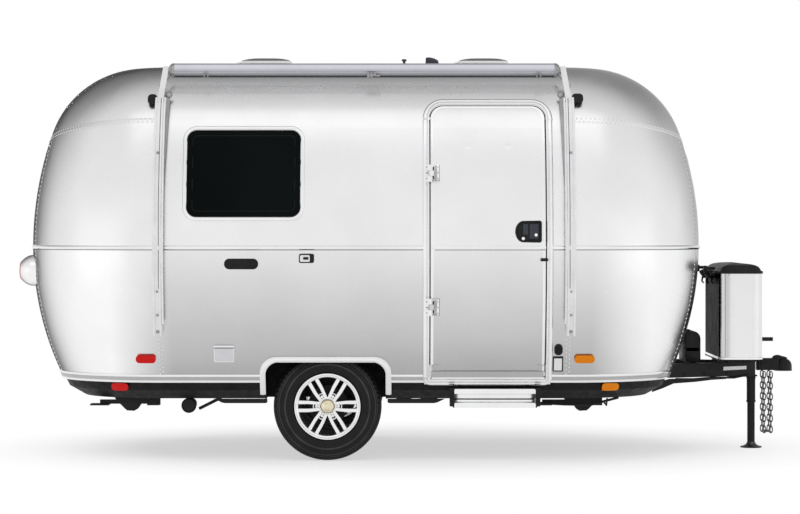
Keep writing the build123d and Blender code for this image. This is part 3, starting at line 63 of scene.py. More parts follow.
nodes = frame["nodes"]
LEFT, RIGHT, FRONT, REAR = 1, -1, 1, -1
X, Y, Z = Vector((1, 0, 0)), Vector((0, 1, 0)), Vector((0, 0, 1))

# ---------------------------------------------------------------- camera
CAMERA_AT = (-0.077, -17.22, 1.471)
LENS = 117.07
HORIZON_SHIFT = -0.04

camera = bpy.data.objects.new("camera", bpy.data.cameras.new("camera"))
camera.data.sensor_width = 36
camera.data.lens = LENS
camera.data.shift_y = HORIZON_SHIFT
camera.data.clip_end = 100
camera.location = CAMERA_AT
camera.rotation_euler = (math.radians(90), 0, 0)
bpy.context.collection.objects.link(camera)
bpy.context.scene.camera = camera
bpy.context.scene.view_settings.view_transform = "Standard"

# ---------------------------------------------------------------- the body's section
# Its four arcs are those of the CAD solids. A point is (distance out from the corner's axis, height).
CORNER_R = 0.89
BELT_Z = 1.331
ROOF_Z = 2.49
LOWER_R, UPPER_R, SHOULDER_R, ROOF_R = 1.9, 2.2, 0.62, 2.55
FLAT_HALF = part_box("side_wall_left")[1].y - CORNER_R
SEAM_X = {REAR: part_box("roof")[0].x, FRONT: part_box("roof")[1].x}
LOWER_C = Vector((CORNER_R - LOWER_R, BELT_Z))
UPPER_C = Vector((CORNER_R - UPPER_R, BELT_Z))
ROOF_C = Vector((0, ROOF_Z - ROOF_R))


def crossing(first, first_r, second, second_r):
    """The outer crossing of two circles."""
    step = second - first
    along = (first_r**2 - second_r**2 + step.length_squared) / (2 * step.length)
    aside = math.sqrt(first_r**2 - along**2)
    step.normalize()
    foot = first + along * step
    turned = Vector((-step.y, step.x)) * aside
    return max((foot + turned, foot - turned), key=lambda point: point.x + point.y)


SHOULDER_C = crossing(UPPER_C, UPPER_R - SHOULDER_R, ROOF_C, ROOF_R - SHOULDER_R)
SHOULDER_Z = UPPER_C.y + (SHOULDER_C - UPPER_C).normalized().y * UPPER_R
ROOF_EDGE_Z = ROOF_C.y + (SHOULDER_C - ROOF_C).normalized().y * ROOF_R
# the top of each arc, its centre and its radius
ARCS = (
    (BELT_Z, LOWER_C, LOWER_R), (SHOULDER_Z, UPPER_C, UPPER_R), (ROOF_EDGE_Z, SHOULDER_C, SHOULDER_R),
    (math.inf, ROOF_C, ROOF_R),
)


def on_skin(station, z, stand=0.0):
    """Place and outward normal on the skin at a station round the body and a height, moved out by `stand`."""
    foot, out = station
    centre, radius = next((centre, radius) for top, centre, radius in ARCS if z <= top)
    up = min(1.0, (z - centre.y) / radius)
    normal = Vector((math.sqrt(1 - up * up), up))
    point = centre + (radius + stand) * normal
    place = Vector((foot[0] + out[0] * point.x, foot[1] + out[1] * point.x, point.y))
    return place, Vector((out[0] * normal.x, out[1] * normal.x, normal.y))


def side_station(x, side=RIGHT):
    return (x, side * FLAT_HALF), (0, side)


def corner_station(end, side, degrees):
    """0 degrees faces the side, 90 the end."""
    angle = math.radians(degrees)
    return (SEAM_X[end], side * FLAT_HALF), (end * math.sin(angle), side * math.cos(angle))


def end_station(end, y):
    return (SEAM_X[end], y), (end, 0)


def skin_path(places, stand=0.0):
    """Points and normals at (station, height) places on the skin."""
    return tuple(zip(*(on_skin(station, z, stand) for station, z in places)))


def on_side(outline, side=RIGHT, stand=0.0):
    """Points and normals of an (x, z) outline on a side wall."""
    return skin_path([(side_station(x, side), z) for x, z in outline], stand)


def on_end(outline, end, stand=0.0):
    """The same for a (y, z) outline on an end wall."""
    return skin_path([(end_station(end, y), z) for y, z in outline], stand)


# ---------------------------------------------------------------- outlines
def steps(low, high, count):
    """Even steps from low to high, with both."""
    return [low + (high - low) * k / count for k in range(count + 1)]


def arc(centre, radius, start, stop, count, tall=None):
    """Points along an arc, in degrees. `tall` is an oval's other radius."""
    tall = radius if tall is None else tall
    angles = [math.radians(degrees) for degrees in steps(start, stop, count)]
    return [Vector((centre[0] + radius * math.cos(a), centre[1] + tall * math.sin(a))) for a in angles]


def rounded_rectangle(low_x, high_x, low_z, high_z, corner, bend=8, step=0.12, foot=None):
    """Points round a rounded rectangle, counter-clockwise; `foot` is the radius of its two lower corners."""
    foot = corner if foot is None else foot
    corners = (
        (high_x - foot, low_z + foot, -90, foot), (high_x - corner, high_z - corner, 0, corner),
        (low_x + corner, high_z - corner, 90, corner), (low_x + foot, low_z + foot, 180, foot),
    )
    points = [p for x, z, start, radius in corners for p in arc((x, z), radius, start, start + 90, bend)]
    full = []
    for first, second in zip(points, points[1:] + points[:1]):
        parts = max(1, int((second - first).length / step))
        full.extend(first.lerp(second, k / parts) for k in range(parts))
    return full


def inset_outline(limits, inset, corner, foot=None):
    """A rounded rectangle set in from (low, high, bottom, top) limits."""
    low, high, bottom, top = limits
    return rounded_rectangle(low + inset, high - inset, bottom + inset, top - inset, corner, foot=foot)


def plan_outline(low, high, corner, step=0.2):
    """A rounded rectangle seen from above."""
    return rounded_rectangle(low[0], high[0], low[1], high[1], corner, bend=6, step=step)


# ---------------------------------------------------------------- materials
def shader_of(mat):
    return mat.node_tree.nodes["Principled BSDF"]


def new_material(name, color, metallic=0.0, roughness=0.5, **extra):
    """A Principled material with its plain values set on the shader's own sockets."""
    mat = bpy.data.materials.new(name)
    mat.use_nodes = True
    values = {"Base Color": (*color, 1), "Metallic": metallic, "Roughness": roughness}
    values.update((socket.replace("_", " "), value) for socket, value in extra.items())
    for socket, value in values.items():
        shader_of(mat).inputs[socket].default_value = value
    return mat


def add_node(mat, kind, inputs=(), **settings):
    """A shader node with its settings and inputs; an input may be a value or another node's output."""
    node = mat.node_tree.nodes.new("ShaderNode" + kind)
    for key, value in settings.items():
        setattr(node, key, value)
    for key, value in dict(inputs).items():
        sockets = (found for index, found in enumerate(node.inputs) if key in (index, found.name))
        socket = next(found for found in sockets if found.enabled)
        if isinstance(value, bpy.types.NodeSocket):
            mat.node_tree.links.new(value, socket)
        else:
            socket.default_value = value
    return node


def to_shader(mat, socket, output):
    mat.node_tree.links.new(output, shader_of(mat).inputs[socket])


def place_of(mat, scale=(1, 1, 1)):
    """The point on the piece, scaled."""
    coords = add_node(mat, "TexCoord").outputs["Object"]
    return add_node(mat, "Mapping", {"Vector": coords, "Scale": scale}).outputs[0]


def split(mat, point):
    """The X, Y and Z of a point."""
    return add_node(mat, "SeparateXYZ", {0: point}).outputs


def noise(mat, scale, detail=3.0, stretch=(1, 1, 1)):
    inputs = {"Vector": place_of(mat, stretch), "Scale": scale, "Detail": detail}
    return add_node(mat, "TexNoise", inputs).outputs["Fac"]


def spread(mat, factor, low, high, start=0.3, stop=0.7, **settings):
    """Maps a factor from start..stop to low..high."""
    inputs = {"Value": factor, "From Min": start, "From Max": stop, "To Min": low, "To Max": high}
    return add_node(mat, "MapRange", inputs, **settings).outputs["Result"]


def share_of(mat, value, start, stop):
    """0 at start, 1 at stop."""
    return spread(mat, value, 0, 1, start, stop)


def maths(mat, operation, *values):
    return add_node(mat, "Math", enumerate(values), operation=operation).outputs[0]


def vector_maths(mat, operation, *values):
    node = add_node(mat, "VectorMath", enumerate(values), operation=operation)
    return node.outputs["Value" if operation == "LENGTH" else 0]


def distance_from(mat, value, middle):
    """How far a value lies from the middle, either way."""
    return maths(mat, "ABSOLUTE", maths(mat, "ADD", value, -middle))


def ramp(mat, factor, stops, tint=(1, 1, 1)):
    """Colours along a factor: (place, grey value or colour) stops."""
    node = add_node(mat, "ValToRGB", {"Fac": factor})
    elements = node.color_ramp.elements
    for index, (place, value) in enumerate(stops):
        element = elements[index] if index < 2 else elements.new(place)
        color = value if isinstance(value, tuple) else grey(value)
        element.position = place
        element.color = (*(part * share for part, share in zip(color, tint)), 1)
    return node.outputs["Color"]


def mix_color(mat, factor, first, second, blend="MIX"):
    inputs = {"Factor": factor, "A": first, "B": second}
    return add_node(mat, "Mix", inputs, data_type="RGBA", blend_type=blend).outputs[2]


def vary_color(mat, factor, first, second, start=0.3, stop=0.7):
    """The base colour runs from the first to the second."""
    to_shader(mat, "Base Color", ramp(mat, factor, ((start, first), (stop, second))))


def multiply_color(mat, other):
    """Multiplies the base colour's first ramp by another colour."""
    first = mat.node_tree.nodes["Color Ramp"].outputs["Color"]
    to_shader(mat, "Base Color", mix_color(mat, 1, first, other, "MULTIPLY"))


def bump(mat, height, distance, base=None):
    """A bump of that height, on top of another if one is given."""
    inputs = {"Height": height, "Distance": distance, "Strength": 1}
    if base is not None:
        inputs["Normal"] = base
    output = add_node(mat, "Bump", inputs).outputs["Normal"]
    to_shader(mat, "Normal", output)
    return output


def grey(value):
    return (value, value, value)


def metal(name, low, high, rough_low, rough_high, brush=(1, 1, 1), brush_scale=60, brush_height=0.00002):
    """Bare metal with cloudy tone, uneven gloss and a fine brushed grain."""
    mat = new_material(name, grey(high), metallic=1.0, roughness=rough_high)
    vary_color(mat, noise(mat, 2.2, 4), grey(low), (high, high, high * 1.012))
    to_shader(mat, "Roughness", spread(mat, noise(mat, 6, 5), rough_low, rough_high))
    bump(mat, noise(mat, brush_scale, 6, brush), brush_height)
    return mat


def coated(name, color, other, roughness, grain=140, height=0.0001, **extra):
    """Paint, plastic or rubber: two close tones, uneven gloss and a fine grain."""
    if max(color) < 0.05:
        extra.setdefault("Specular_IOR_Level", 0.22)
    mat = new_material(name, color, roughness=roughness, **extra)
    vary_color(mat, noise(mat, 9, 5), color, other)
    to_shader(mat, "Roughness", spread(mat, noise(mat, 25, 4), roughness * 0.85, min(1, roughness * 1.2)))
    bump(mat, noise(mat, grain, 2), height)
    return mat


def lens(name, color, rib=150):
    """A clear coloured lens with fine ribs moulded in it."""
    mat = new_material(name, color, roughness=0.3, Specular_IOR_Level=0.12)
    inputs = {"Vector": place_of(mat), "Scale": rib, "Distortion": 0.2}
    waves = add_node(mat, "TexWave", inputs, bands_direction="X").outputs["Fac"]
    vary_color(mat, waves, tuple(part * 0.72 for part in color), color, 0.1, 0.8)
    bump(mat, waves, 0.0006)
    return mat


# height and X of each small dent in the right wall, with its depth and radius in millimetres
DENTS = (
    (0.935, -1.005, 3.0, 26), (0.80, -0.77, 1.2, 16), (0.80, -0.54, 1.2, 16), (0.80, -0.31, 1.2, 16),
    (0.80, -0.08, 1.2, 16), (1.96, 0.345, 1.0, 18), (1.96, 0.59, 1.0, 18), (1.15, 0.345, 1.4, 18),
    (1.15, 0.595, 1.6, 18), (0.84, 0.345, 1.4, 16), (0.84, 0.6, 1.6, 16), (1.07, 1.205, 2.0, 22),
    (0.77, 1.20, 3.2, 26), (0.80, -1.79, 3.0, 22), (1.08, -1.80, 1.6, 14),
)
DENTED_WALL_Y = -1.12
# painted shade: how far the brightness of the sheet falls down the sides, and painted light low on the round
# ends: (share of that height span, tone)
PAINTED_SHADE_Z = (0.5, 1.5)
PAINTED_SHADE_TONES = ((0.05, 0.56), (0.35, 0.69), (0.5, 0.77), (0.65, 0.85), (0.80, 0.93), (0.835, 1.0))
PAINTED_END_LIGHT_TONES = ((0.80, 1.12), (0.86, 1.0))
MIDDLE_X, FLAT_REACH, END_REACH = -0.19, 1.30, 1.68
# the patch behind the awning where the sheet is made less metallic for painted light: its middle and reach
# along the body, across and up
PAINTED_LIGHT_X, PAINTED_LIGHT_REACH = -0.30, (1.18, 1.24)
PAINTED_LIGHT_Y, PAINTED_LIGHT_Z = (-0.95, -0.85), (2.27, 2.315)
PAINTED_SHEEN_X = (-1.9, 1.5)


def skin_material():
    """Satin aluminium sheet: rolled grain along the body, slow waves, and a few dents."""
    mat = metal("aluminium_skin", 0.81, 0.86, 0.25, 0.30, (0.5, 3, 9), 20, 0.000004)
    grain = shader_of(mat).inputs["Normal"].links[0].from_socket
    waves = bump(mat, noise(mat, 1.6, 1.0, (0.7, 1, 1)), 0.0015, grain)
    point = place_of(mat)
    x, y, z = split(mat, point)
    # painted shade, darker below the belt line, but painted light instead low on the round ends
    height = share_of(mat, z, *PAINTED_SHADE_Z)
    to_ends = share_of(mat, distance_from(mat, x, MIDDLE_X), FLAT_REACH, END_REACH)
    multiply_color(mat, mix_color(mat, to_ends, ramp(mat, height, PAINTED_SHADE_TONES), ramp(mat, height, PAINTED_END_LIGHT_TONES)))
    # a painted darker sheen where the sheet turns away, most of all at the rear, set by place along the body
    to_shader(mat, "Specular Tint", ramp(mat, share_of(mat, x, *PAINTED_SHEEN_X), ((0.0, 0.0), (1.0, 0.55))))
    # painted light behind the awning: the sheet there is made nearly non-metallic, so that it renders lighter
    # instead of mirroring the roller's dark underside
    painted_light_patch = share_of(mat, z, *PAINTED_LIGHT_Z)
    for share in (
        spread(mat, y, 1, 0, *PAINTED_LIGHT_Y), spread(mat, distance_from(mat, x, PAINTED_LIGHT_X), 1, 0, *PAINTED_LIGHT_REACH)
    ):
        painted_light_patch = maths(mat, "MULTIPLY", painted_light_patch, share)
    to_shader(mat, "Metallic", spread(mat, painted_light_patch, 1.0, 0.12, 0, 1))
    total = None
    for dent_z, dent_x, depth, radius in DENTS:
        away = vector_maths(mat, "SUBTRACT", point, (dent_x, DENTED_WALL_Y, dent_z))
        away = vector_maths(mat, "LENGTH", vector_maths(mat, "MULTIPLY", away, (1, 0.12, 1)))
        dent = spread(mat, away, -depth / 1000, 0, 0, radius / 1000 * 1.6, interpolation_type="SMOOTHERSTEP")
        total = dent if total is None else maths(mat, "ADD", total, dent)
    bump(mat, total, 1.0, waves)
    return mat


COVER_LOW, COVER_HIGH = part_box("tank_cover")
COVER_REAR_X = COVER_LOW.x + 0.030
# (share, tone) stops of painted light and shade: along the cover's side, up the awning's roller, and out from
# a tyre's middle
COVER_PAINTED_LIGHT_TONES = (
    (0.0, 0.05), (0.04, 0.03), (0.08, 0.9), (0.3, 0.9), (0.36, 0.42), (0.44, 0.8), (0.52, 0.62),
    (0.62, 0.55), (0.66, 0.9), (1.0, 0.95),
)
AWNING_PAINTED_SHADE_TONES = (
    (0.0, 0.03), (0.12, 0.03), (0.15, 0.45), (0.28, 0.55), (0.34, 0.85), (0.48, 0.72), (0.62, 0.98),
    (0.84, 1.05), (0.9, 0.5),
)
AWNING_PAINTED_LIGHT_Y = (-0.905, -0.895)
TYRE_RING_HIGHLIGHT_TONES = (
    (0.0, 0.05), (0.41, 0.05), (0.44, 0.35), (0.48, 0.35), (0.51, 0.05), (0.70, 0.05), (0.725, 0.5),
    (0.75, 0.05), (0.79, 0.05), (0.81, 0.35), (0.83, 0.05),
)
TYRE_REACH = (0.2, 0.34)


def cover_material():
    """Brushed sheet with painted light and shade: a painted bright side panel, painted shade in bands for a
    pressed flute by its rear corner, and a painted dark rear face.
    """
    mat = metal("brushed_cover", 0.80, 0.87, 0.22, 0.3, (30, 30, 0.5), 40, 0.00001)
    along = share_of(mat, split(mat, place_of(mat))["X"], COVER_REAR_X, COVER_REAR_X + 0.1)
    multiply_color(mat, ramp(mat, along, COVER_PAINTED_LIGHT_TONES))
    # painted shade: dark reflections on the rear face
    to_shader(mat, "Specular Tint", ramp(mat, along, ((0.0, 0.04), (0.05, 0.04), (0.08, 1.0), (1.0, 1.0))))
    return mat


def awning_material():
    """A satin cover with painted light and shade in bands from the top to the underside: a painted highlight
    near the top, painted shade below and a painted black shadow line at its foot.
    """
    mat = coated("awning_cover", (0.6, 0.61, 0.64), (0.64, 0.65, 0.68), 0.38, 300, 0.0001)
    _, y, z = split(mat, place_of(mat))
    low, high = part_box("awning_roller")
    bands = ramp(mat, share_of(mat, z, low.z, high.z), AWNING_PAINTED_SHADE_TONES, (1, 1, 1.03))
    # painted light: the back half, which the wall mirrors, is made lighter
    behind = share_of(mat, y, *AWNING_PAINTED_LIGHT_Y)
    multiply_color(mat, mix_color(mat, behind, bands, (*grey(1.1), 1)))
    return mat


def tyre_material():
    """Black rubber with painted highlights in rings on the sidewall, on its moulded ring and by the tread's
    shoulder.
    """
    mat = coated("tyre_rubber", (0.005, 0.005, 0.0055), (0.011, 0.011, 0.0115), 0.5, 220, 0.00015)
    low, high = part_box("tyre_right")
    out = vector_maths(mat, "SUBTRACT", place_of(mat), ((low.x + high.x) / 2, 0, (low.z + high.z) / 2))
    reach = vector_maths(mat, "LENGTH", vector_maths(mat, "MULTIPLY", out, (1, 0, 1)))
    multiply_color(mat, ramp(mat, share_of(mat, reach, *TYRE_REACH), TYRE_RING_HIGHLIGHT_TONES, grey(16)))
    return mat


def glass_material():
    mat = new_material("tinted_glass", (0.006, 0.008, 0.009), roughness=0.04, Specular_IOR_Level=0.03)
    vary_color(mat, noise(mat, 1.5, 2), (0.002, 0.003, 0.003), (0.004, 0.006, 0.006))
    to_shader(mat, "Roughness", spread(mat, noise(mat, 5, 3), 0.03, 0.07))
    return mat


def plank_material():
    """Grey-brown vinyl planks that run along the body."""
    mat = new_material("floor_planks", (0.3, 0.25, 0.2), roughness=0.45)
    vary_color(mat, noise(mat, 3, 6, (0.5, 12, 1)), (0.2, 0.16, 0.12), (0.42, 0.35, 0.28))
    brick = add_node(mat, "TexBrick", {"Vector": place_of(mat), "Scale": 2.0, "Mortar Size": 0.004})
    bump(mat, brick.outputs["Fac"], -0.001)
    return mat


def gold_material():
    mat = new_material("cap_gold", (0.78, 0.70, 0.52), metallic=1.0, roughness=0.22)
    vary_color(mat, noise(mat, 30, 3), (0.7, 0.62, 0.45), (0.86, 0.79, 0.62))
    return mat


MATS = {
    "skin": skin_material(),
    "trim": metal("polished_trim", 0.80, 0.88, 0.16, 0.26, (0.5, 6, 20)),
    "rim": metal("machined_alloy", 0.82, 0.9, 0.12, 0.2, (8, 8, 8)),
    "cover": cover_material(),
    "zinc": metal("dull_zinc", 0.28, 0.42, 0.3, 0.5),
    "chain": metal("chain_steel", 0.10, 0.22, 0.3, 0.5),
    # grey metal, also used for painted shade in the trim's groove and on the hinges
    "strip": metal("grey_metal_and_shade", 0.42, 0.50, 0.3, 0.42),
    "chrome": metal("chrome", 0.84, 0.92, 0.06, 0.12),
    "gold": gold_material(),
    "black": coated("black_paint", (0.004, 0.004, 0.0045), (0.009, 0.009, 0.0095), 0.42),
    "pan": coated("pan_coating", (0.003, 0.003, 0.0035), (0.006, 0.006, 0.0065), 0.6, 60, 0.0003),
    "plastic": coated("black_plastic", (0.006, 0.006, 0.0065), (0.012, 0.012, 0.0125), 0.45),
    "soft": coated("black_rubber", (0.008, 0.008, 0.0085), (0.014, 0.014, 0.0145), 0.7),
    "white": coated("white_plastic", (0.78, 0.78, 0.77), (0.85, 0.85, 0.84), 0.4),
    "tank": coated("tank_paint", grey(0.7), grey(0.78), 0.35),
    "arm": coated("arm_paint", (0.74, 0.74, 0.75), (0.82, 0.82, 0.83), 0.3, Metallic=0.35),
    "blank": coated("blank_plate", (0.66, 0.66, 0.69), (0.74, 0.74, 0.77), 0.4),
    "smoke": coated("smoked_lid", (0.03, 0.034, 0.045), (0.045, 0.05, 0.062), 0.18),
    "orange": coated("orange_hose", (0.75, 0.2, 0.02), (0.8, 0.26, 0.03), 0.4),
    "tyre": tyre_material(),
    "awning": awning_material(),
    "red": lens("red_lens", (0.82, 0.012, 0.012)),
    "amber": lens("amber_lens", (1.0, 0.29, 0.004)),
    "glass": glass_material(),
    "planks": plank_material(),
}

# CAD nodes that stay, with the material that each gets
NODE_MATERIALS = {
    "skin": "side_wall_left side_wall_right roof end_shell_front end_shell_rear door",
    "trim": "window_frames door_frame door_hinges wheel_arch_trims hatch_rim tail_lamp_pods step_treads",
    "cover": "tank_cover",
    "black": "a_frame axle coupler jack_tube jack_leg stabilizer_front_left stabilizer_front_right "
    "stabilizer_rear_left stabilizer_rear_right stabilizer_mounts step_guides step_slide hub_left hub_right",
    "pan": "belly_pan wheel_wells",
    "plastic": "battery_box tank_lid clearance_lamps antenna drain_outlet wall_fittings door_handle",
    "white": "vent_bases",
    "smoke": "vent_lid_front vent_lid_rear",
    "tank": "gas_tanks",
    "arm": "awning_arms",
    "awning": "awning_roller",
    "rim": "rim_left rim_right",
    "tyre": "tyre_left tyre_right",
    "chain": "safety_chains",
    "glass": "window_glass",
    "red": "red_lamps tail_lamp_lenses",
    "amber": "amber_lamps",
    "planks": "floor",
    "blank": "hatch_lid",
}
for material_name, node_names in NODE_MATERIALS.items():
    for node_name in node_names.split():
        node_mesh = nodes[node_name].data
        node_mesh.materials.clear()
        node_mesh.materials.append(MATS[material_name])


# ---------------------------------------------------------------- mesh helpers
def circle(first, second, count):
    """Directions round a circle."""
    turns = [2 * math.pi * k / count for k in range(count)]
    return [first * math.cos(turn) + second * math.sin(turn) for turn in turns]


def across_of(axis):
    """A direction along an axis, and two across it."""
    axis = Vector(axis).normalized()
    first = axis.orthogonal().normalized()
    return axis, first, axis.cross(first)


def tangents(points, closed):
    count = len(points)
    for i, point in enumerate(points):
        before = points[i - 1] if closed or i else point
        after = points[(i + 1) % count] if closed or i < count - 1 else point
        yield (after - before).normalized()


class Build:
    """Collects closed shapes into one mesh piece. Profiles of a sweep or a lathe are in millimetres."""

    def __init__(self):
        self.verts = []
        self.faces = []

    def add(self, verts, faces):
        start = len(self.verts)
        self.verts.extend(Vector(v) for v in verts)
        self.faces.extend(tuple(start + index for index in face) for face in faces)

    def grid(self, rows, close_rows=False, caps=True):
        """Skins rings of points; close_rows joins the last ring to the first, caps close both ends."""
        count, width = len(rows), len(rows[0])
        faces = []
        for i in range(count if close_rows else count - 1):
            here, there = i * width, (i + 1) % count * width
            pairs = [(j, (j + 1) % width) for j in range(width)]
            faces += [(here + j, here + k, there + k, there + j) for j, k in pairs]
        if caps and not close_rows:
            faces += [tuple(range(width)), tuple((count - 1) * width + j for j in range(width))]
        self.add([v for row in rows for v in row], faces)

    def lathe(self, profile, centre, axis, segments=48):
        """A closed profile of (radius, along) turned about an axis."""
        axis, first, second = across_of(axis)
        points = [(max(r / 1000, 1e-5), h / 1000) for r, h in profile]
        centre, turned = Vector(centre), circle(first, second, segments)
        self.grid([[centre + out * r + axis * h for r, h in points] for out in turned], close_rows=True)

    def sweep(self, points, normals, profile, closed=False):
        """Carries a profile of (across, stand) along a path; across runs to the path's left."""
        rows = []
        for point, normal, tangent in zip(points, normals, tangents(points, closed)):
            normal = normal.normalized()
            across = normal.cross(tangent).normalized()
            rows.append([point + across * (a / 1000) + normal * (s / 1000) for a, s in profile])
        self.grid(rows, close_rows=closed)

    def ring(self, points, normals, profile):
        """A sweep round a closed outline, with `across` into it."""
        tangent = points[1] - points[-1]
        inward = normals[0].cross(tangent).dot(sum(points, Vector()) / len(points) - points[0]) > 0
        self.sweep(points, normals, profile if inward else [(-a, s) for a, s in profile], closed=True)

    def tube(self, points, radius, sides=12, closed=False):
        """A round bar along a path."""
        points = [Vector(p) for p in points]
        rows = []
        for point, tangent in zip(points, tangents(points, closed)):
            first = tangent.cross(Z if abs(tangent.z) < 0.9 else Y).normalized()
            rows.append([point + radius * out for out in circle(first, tangent.cross(first), sides)])
        self.grid(rows, close_rows=closed)

    def box(self, low, high, bevel, matrix=None):
        """A box with rounded edges."""
        bm = bmesh.new()
        bmesh.ops.create_cube(bm, size=1)
        for vert in bm.verts:
            vert.co = Vector(low[k] + (vert.co[k] + 0.5) * (high[k] - low[k]) for k in range(3))
        bmesh.ops.bevel(bm, geom=bm.edges[:], offset=bevel, segments=2, profile=0.5, affect="EDGES")
        if matrix is not None:
            bm.transform(matrix)
        bm.verts.index_update()
        self.add([v.co.copy() for v in bm.verts], [[v.index for v in f.verts] for f in bm.faces])
        bm.free()

    def block(self, matrix, low, high, bevel):
        """A box in millimetres in a local frame."""
        self.box(*([value / 1000 for value in corner] for corner in (low, high)), bevel / 1000, matrix)

    def prism(self, outline, normal, depth):
        """A flat outline pushed along a direction."""
        outline = [Vector(p) for p in outline]
        self.grid([outline, [p + Vector(normal) * depth for p in outline]])

    def dome(self, place, normal, radius, height, sides=8):
        """A low rivet or bolt head."""
        normal, first, second = across_of(normal)
        turned = circle(first, second, sides)
        self.grid([
            [Vector(place) + out * radius * share + normal * height * rise for out in turned]
            for share, rise in ((1.0, -0.15), (0.92, 0.45), (0.55, 0.9))
        ])

    def stack(self, low, high, levels, base_z, corner_at):
        """Plan outlines at (inset, up) levels in millimetres; corner_at is the corner radius at an inset."""
        rows = []
        for inset, up in levels:
            inset /= 1000
            inner_low, inner_high = [part + inset for part in low[:2]], [part - inset for part in high[:2]]
            outline = plan_outline(inner_low, inner_high, corner_at(inset))
            rows.append([Vector((*p, base_z + up / 1000)) for p in outline])
        self.grid(rows)

    def cushion(self, profile, middle, slices):
        """An (x, z) outline at (y, inset) slices, drawn in toward its middle by the inset."""
        self.grid([
            [Vector((x + math.copysign(inset, middle[0] - x), y, z + math.copysign(inset, middle[1] - z)))
             for x, z in profile]
            for y, inset in slices
        ])

    def finish(self, name, mat, body="caravan", slot=None, sharp=40, replaces=()):
        """Makes the mesh piece, which rides on a body. Edges sharper than `sharp` degrees aren't smoothed."""
        mesh = bpy.data.meshes.new(name)
        mesh.from_pydata([tuple(v) for v in self.verts], [], self.faces)
        mesh.validate()
        bm = bmesh.new()
        bm.from_mesh(mesh)
        bmesh.ops.recalc_face_normals(bm, faces=bm.faces)
        bm.to_mesh(mesh)
        bm.free()
        mesh.shade_smooth()
        mesh.set_sharp_from_angle(angle=math.radians(sharp))
        mesh.materials.append(MATS[mat])
        obj = bpy.data.objects.new(name, mesh)
        bpy.context.collection.objects.link(obj)
        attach(obj, body)
        if replaces:
            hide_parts(*replaces)


def builds(count):
    return (Build() for _ in range(count))


# ---------------------------------------------------------------- mouldings round the body
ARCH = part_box("wheel_arch_trims")
DOOR_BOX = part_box("door_frame")
CORNER_STEPS = 18


def walk_round():
    """Stations once round the body, with a station at each cut on the sides."""
    cuts = {DOOR_BOX[0].x, DOOR_BOX[1].x, ARCH[0].x, ARCH[1].x}
    xs = sorted(cuts | set(steps(SEAM_X[REAR], SEAM_X[FRONT], 16)))
    turns = steps(0, 90, CORNER_STEPS)[1:-1]
    stations = []
    for end, side in ((FRONT, RIGHT), (REAR, LEFT)):
        stations += [side_station(x, side) for x in (xs if side == RIGHT else reversed(xs))]
        stations += [corner_station(end, side, turn) for turn in turns]
        stations += [end_station(end, -side * FLAT_HALF * share) for share in (-1, -0.5, 0, 0.5, 1)]
        stations += [corner_station(end, -side, turn) for turn in reversed(turns)]
    return stations


def runs_round(is_open):
    """The walk round the body, cut where is_open says that a stretch is left out."""
    stations = walk_round()
    keep = []
    for first, second in zip(stations, stations[1:] + stations[:1]):
        on_a_side = first[1][0] == 0 and second[1] == first[1]
        middle = (first[0][0] + second[0][0]) / 2
        keep.append(not (on_a_side and is_open(middle, first[1][1])))
    start = keep.index(False) + 1
    runs, run = [], []
    for k in range(len(stations)):
        index = (start + k) % len(stations)
        run.append(stations[index])
        if not keep[index]:
            if len(run) > 1:
                runs.append(run)
            run = []
    return runs


def in_door(x, side):
    return side == RIGHT and DOOR_BOX[0].x < x < DOOR_BOX[1].x


def in_door_or_arch(x, side):
    return in_door(x, side) or ARCH[0].x < x < ARCH[1].x


# each profile is (up, stand) in millimetres
BELT_PROFILE = ((-12, -1), (-12, 3), (-8, 7.5), (-3, 9.8), (3, 9.8), (8, 7.5), (12, 3), (12, -1))
BELT_SHADOW_PROFILE = ((-15.5, -1), (-15.5, 2.2), (-11.5, 2.6), (-11.5, -1))
TRIM_PROFILE = (
    (-15, -1), (-15, 5), (-12, 8), (-3, 8), (0, 5), (21, 4), (24, 7.5), (32, 7.8), (37, 5), (38, -1),
)
TRIM_GROOVE_SHADE_PROFILE = ((1, 2), (1, 6.2), (20, 5.8), (20, 2))
TRIM_LOW_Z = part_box("lower_trim")[0].z
# name, height, profile, where it is left out, material and the nodes it replaces
MOULDINGS = (
    ("belt_line", BELT_Z, BELT_PROFILE, in_door, "trim", ("belt_moulding",)),
    # a black strip just under the belt line: a painted shadow line
    ("belt_shadow_line", BELT_Z, BELT_SHADOW_PROFILE, in_door, "soft", ()),
    ("lower_line", TRIM_LOW_Z, TRIM_PROFILE, in_door_or_arch, "trim", ("lower_trim",)),
    # a darker metal strip in the trim's groove, between its two bright bands: painted shade
    ("lower_groove_shade", TRIM_LOW_Z, TRIM_GROOVE_SHADE_PROFILE, in_door_or_arch, "strip", ()),
)
for moulding, moulding_z, moulding_profile, is_left_out, moulding_mat, replaced in MOULDINGS:
    moulding_build = Build()
    for run_round in runs_round(is_left_out):
        moulding_build.grid([
            [on_skin(station, moulding_z + up / 1000, stand / 1000)[0] for up, stand in moulding_profile]
            for station in run_round
        ])
    moulding_build.finish(moulding, moulding_mat, slot="trim", sharp=30, replaces=replaced)

# ---------------------------------------------------------------- panel laps and rivets
LAP = 0.0008
LAP_PROFILE = ((-16, -0.5), (-16, 0.48), (-15, 0.8), (16, 0.4), (16, -0.5))
RIVET_R = 0.0052
RIVET_HEIGHT = 0.003
RIVET_PITCH = 0.029
RIVET_ASIDE = 0.010
TRIM_TOP_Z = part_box("lower_trim")[1].z + 0.004
BELT_EDGES = (BELT_Z - 0.013, BELT_Z + 0.013)
UPPER_SEAM_Z = 2.122
UPPER_SEAM_DROP = 0.12
GORE_DEGREES = 71
SEAM_STEP = 0.06


def upper_seam_z(degrees):
    return UPPER_SEAM_Z - UPPER_SEAM_DROP * (1 - math.cos(math.radians(degrees)))


